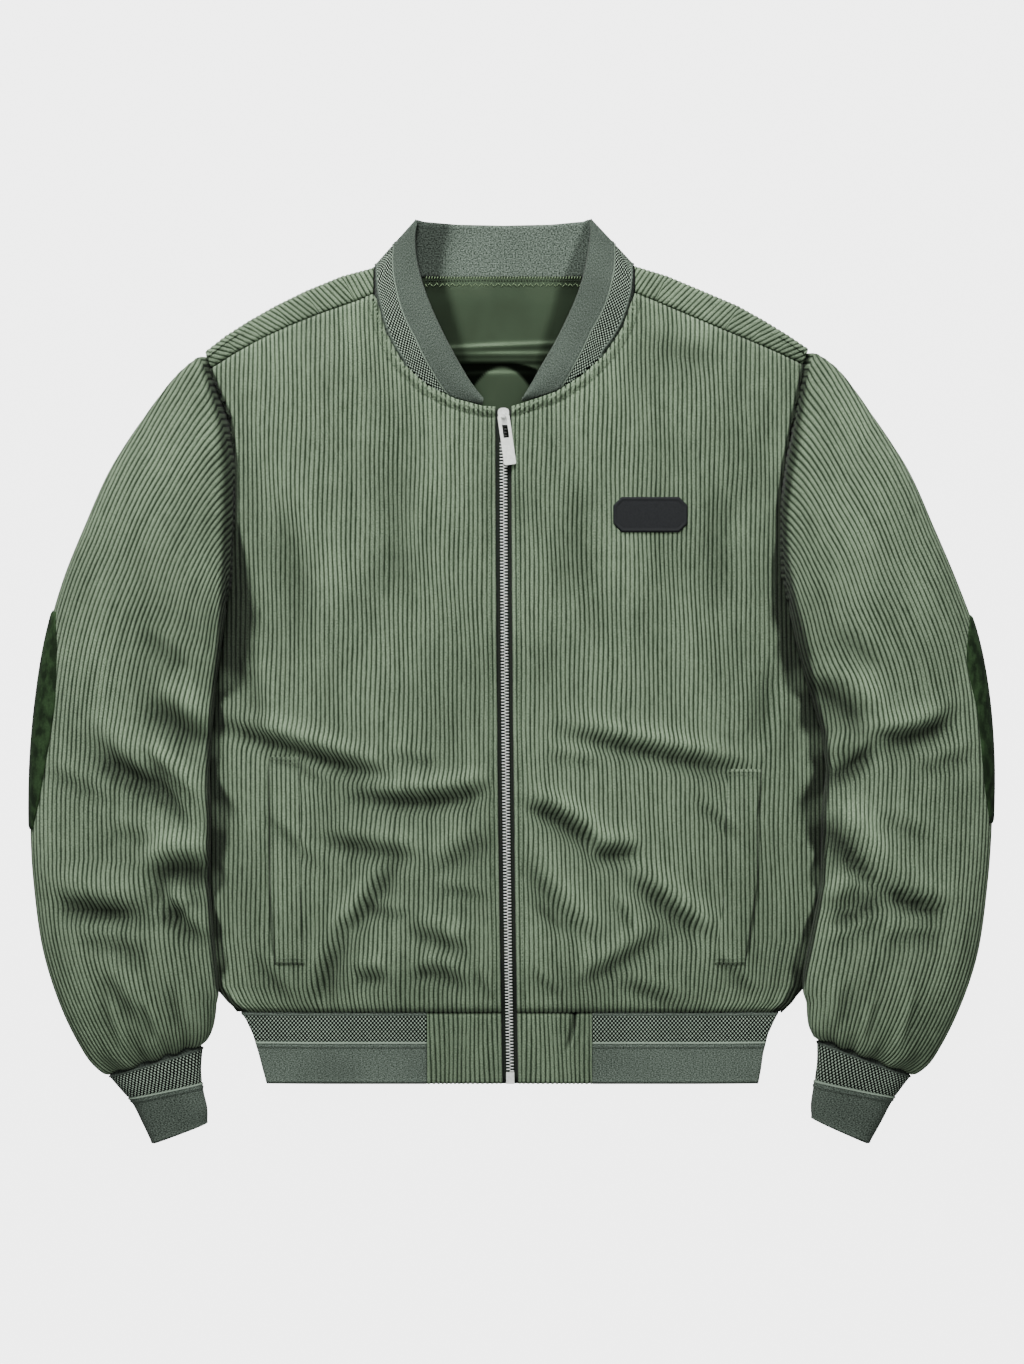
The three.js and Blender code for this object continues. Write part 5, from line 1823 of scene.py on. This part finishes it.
@dataclass
class Zip:
    """Closed metal zip: tapes, teeth, and the slider, tab and bottom box kept from the model."""

    pitch: float = 2.57
    tape_flat: tuple[float, float] = (0.0125, 0.554)

    def tape(self, side: Side, finishes: Finishes) -> None:
        """Makes a tape that runs under the teeth and under the edge of its front.

        Args:
            side: Side of the tape.
            finishes: Materials.
        """
        y = np.linspace(ZIP_TOP_Y - 1, HEM_END_Y + 1, 100)[:, None]
        t = np.linspace(0, 1, 16)[None, :]
        x = zip_x(y) + side.sign * mix(0.45, TAPE_REACH, t)
        y = y + 0 * x
        z = zip_height(y) - TAPE_DROP + 0.5 * bell((t - 0.1) / 0.08)
        piece = Cloth(np.stack([x, y, z], 2), x, y).piece(f"cloth_zip_tape_{side.value}", 0.9)
        finishes.dress(piece, TAPE, (f"zip_tape_{side.value}",))

    def teeth(self, finishes: Finishes) -> None:
        """Makes the teeth as one joined piece.

        Args:
            finishes: Materials.
        """
        unit = bmesh.new()
        bmesh.ops.create_cube(unit, size=1)
        bmesh.ops.scale(unit, vec=(3.3, 0.9, 2.4), verts=unit.verts)
        edges = [e for e in unit.edges if min(v.co.z for v in e.verts) > 0]
        bmesh.ops.bevel(unit, geom=edges, offset=0.2, segments=1, profile=0.5, affect="EDGES", material=-1)
        bmesh.ops.triangulate(unit, faces=unit.faces)
        unit.verts.index_update()
        y = np.arange(CHAIN_TOP_Y - 1, CHAIN_END_Y + 0.6, -self.pitch / 2)
        sign = np.where(np.arange(len(y)) % 2, 1.0, -1.0)
        slope = np.gradient(zip_x(y), y)
        places = np.stack([zip_x(y) + sign * 1.42, y, zip_height(y) - CHAIN_DROP - 1.2], 1)
        ways = np.stack([np.ones(len(y)), -slope, np.zeros(len(y))], 1)
        ups = np.tile([0.0, 0.0, 1.0], (len(y), 1))
        corners = len(unit.verts)
        piece = beads("zip_teeth", unit, places, ways, ups)
        # Painted shade: the teeth above y 197, under the slider and pull, are darkened.
        shaded = np.repeat(0.93 * (y > 197), corners).astype(np.float32)
        piece.data.attributes.new("painted_shade", "FLOAT", "POINT").data.foreach_set("value", shaded)
        finishes.dress(piece, SILVER, ("zip_chain",))

    def build(self, finishes: Finishes) -> None:
        """Makes and dresses the zip.

        Args:
            finishes: Materials.
        """
        for side in Side:
            self.tape(side, finishes)
        self.teeth(finishes)
        finishes.cover("zip_slider", SILVER)
        finishes.cover("zip_stop", PALE_METAL)
        finishes.cover("zip_pull", PALE_METAL)


@dataclass
class Badge:
    """Bare chest badge of dark cloth with a rolled rim."""

    x: float = 113.6
    y: float = 137.3
    width: float = 61.0
    height: float = 29.0
    corner: float = 7.0

    def build(self, finishes: Finishes) -> None:
        """Makes and dresses the badge.

        Args:
            finishes: Materials.
        """
        v = np.linspace(-0.5, 0.5, 33)[:, None]
        u = np.linspace(-0.5, 0.5, 65)[None, :]
        cut = np.maximum(0, self.corner - (0.5 - np.abs(v)) * self.height)
        half = (self.width - 2 * cut) / 2
        x = self.x + 2 * u * half
        y = self.y + v * self.height + 0 * x
        from_side = self.width / 2 - np.abs(x - self.x)
        from_end = self.height / 2 - np.abs(y - self.y)
        inwards = np.minimum.reduce([from_side, from_end, (from_side + from_end - self.corner) / math.sqrt(2)])
        rim = 0.45 * bell((inwards - 1.4) / 1.0) - 1.0 * bell(inwards / 0.5)
        rise = 0.9 + rim - 0.35 * bell((inwards - 3.3) / 0.35)
        z = front_height(Side.LEFT, x, y) + 0.55 + rise
        cloth = Cloth(np.stack([x, y, z], 2), x, y)
        piece = cloth.piece("cloth_badge", 0.9)
        finishes.dress(piece, BADGE_CLOTH, ("badge",))


@dataclass
class Stitching:
    """Topstitching of the fronts, as joined beads of thread."""

    length: float = 2.3
    pitch: float = 3.1

    def line(self, side: Side, plan: Array, lift: float) -> tuple[Array, Array]:
        """Stitches along a line on a front.

        Args:
            side: Side of the front.
            plan: Points of the line, as rows of x and y.
            lift: Height over the cloth's ground in millimetres.

        Returns:
            Places and directions of the stitches.
        """
        run = np.r_[0, np.cumsum(np.hypot(*np.diff(plan, axis=0).T))]
        at = np.arange(self.pitch / 2, run[-1], self.pitch)
        x, y = (np.interp(at, run, plan[:, k]) for k in range(2))
        z = front_height(side, x, y) + lift
        places = np.stack([x, y, z], 1)
        return places, np.gradient(places, axis=0)

    def build(self, finishes: Finishes) -> None:
        """Makes and dresses the stitching.

        Args:
            finishes: Materials.
        """
        lines, ticks = [], []
        for side in Side:
            y = np.linspace(214, HEM_SEAM_Y + 3, 120)
            lines.append(self.line(side, np.stack([zip_x(y) + side.sign * (ZIP_HALF_GAP + 5.6), y], 1), 0.2))
            neck = NECK_SEAM[side]
            smooth = row_at(neck, np.linspace(0.2, len(neck) - 1.3, 80))
            way = np.gradient(smooth, axis=0)
            way /= np.linalg.norm(way, axis=1, keepdims=True)
            inward = np.stack([way[:, 1], -way[:, 0]], 1) * -side.sign
            lines.append(self.line(side, smooth - inward * 7.6, 0.35))
            places, ways = self.line(side, smooth - inward * 2.9, 1.5)
            turned = np.stack([-ways[:, 1], ways[:, 0], 0 * ways[:, 2]], 1) * side.sign
            ticks.append((places, ways + turned))
            welts = PocketWelts()
            low, high = welts.low_y, welts.high_y[side]
            for level in (low + 2.0, low + 5.0, high - 2.0, high - 5.0):
                near, far = welts.edges(side, np.array(level))
                lines.append(self.line(side, np.array([[near, level], [far, level]], float), 2.0))
        for name, finish, size, made in (
            ("topstitching", THREAD, (self.length, 0.75, 0.7), lines),
            ("neck_edge_stitches", EDGE_THREAD, (4.2, 1.3, 1.0), ticks),
        ):
            places, ways = (np.vstack(part) for part in zip(*made))
            finishes.dress(stitches(name, size, places, ways), finish)


@dataclass
class Studio:
    """Pale floor, soft lights and the camera that looks straight down."""

    lens: float = 85.0
    sensor: float = 36.0
    picture_height: float = 1.1185
    plane_z: float = 0.012

    def floor(self) -> None:
        """Makes the floor."""
        start = bmesh.new()
        bmesh.ops.create_grid(start, x_segments=1, y_segments=1, size=8)
        mesh = bpy.data.meshes.new("floor")
        start.to_mesh(mesh)
        start.free()
        mesh.vertices.foreach_set("co", (np.array([v.co for v in mesh.vertices]) - (0, 0, 0.0004)).ravel())
        piece = bpy.data.objects.new("floor", mesh)
        bpy.context.collection.objects.link(piece)
        s = Shader("floor", Roughness=1.0, Specular_IOR_Level=0.0)
        s.surface.inputs["Base Color"].default_value = (0.1, 0.1, 0.1, 1)
        s.surface.inputs["Emission Color"].default_value = (1, 1, 1, 1)
        s.surface.inputs["Emission Strength"].default_value = 4.4
        mesh.materials.append(s.material)
        piece.visible_diffuse = piece.visible_glossy = False

    def lamp(self, name: str, place: tuple[float, float, float], size: float, power: float) -> None:
        """Adds a square lamp that looks at the jacket.

        Args:
            name: Name of the lamp.
            place: Its place in metres.
            size: Its side in metres.
            power: Its power in watts.
        """
        light = bpy.data.lights.new(name, "AREA")
        light.size = size
        light.energy = power
        lamp = bpy.data.objects.new(name, light)
        bpy.context.collection.objects.link(lamp)
        lamp.location = place
        away = lamp.location.normalized()
        lamp.rotation_euler = away.to_track_quat("Z", "Y").to_euler()

    def build(self) -> None:
        """Makes floor, lights and camera."""
        self.floor()
        self.lamp("key", (-0.35, 2.1, 1.3), 1.0, 112)
        self.lamp("top", (0, 0.2, 2.9), 2.4, 21)
        world = bpy.data.worlds.new("studio")
        bpy.context.scene.world = world
        world.use_nodes = True
        world.node_tree.nodes["Background"].inputs[0].default_value = (1, 1, 1, 1)
        world.node_tree.nodes["Background"].inputs[1].default_value = 0.28
        camera = bpy.data.cameras.new("camera")
        camera.lens = self.lens
        camera.sensor_width = self.sensor
        camera.sensor_fit = "AUTO"
        camera.clip_start, camera.clip_end = 0.1, 20
        eye = bpy.data.objects.new("camera", camera)
        bpy.context.collection.objects.link(eye)
        distance = self.picture_height * self.lens / self.sensor
        eye.location = (0.0004, 0.0004, self.plane_z + distance)
        bpy.context.scene.camera = eye


def main() -> None:
    """Builds the jacket piece by piece, then the studio around it."""
    logging.basicConfig(level=logging.INFO, format="%(name)s: %(message)s")
    finishes = Finishes()
    for part in (
        Back(), Fronts(), PocketWelts(), Shoulders(), Sleeves(), ElbowPatches(), Cuffs(), HemBand(), Collar(),
        Lining(), Zip(), Badge(), Stitching(),
    ):
        part.build(finishes)
    Studio().build()


if __name__ == "__main__":
    main()
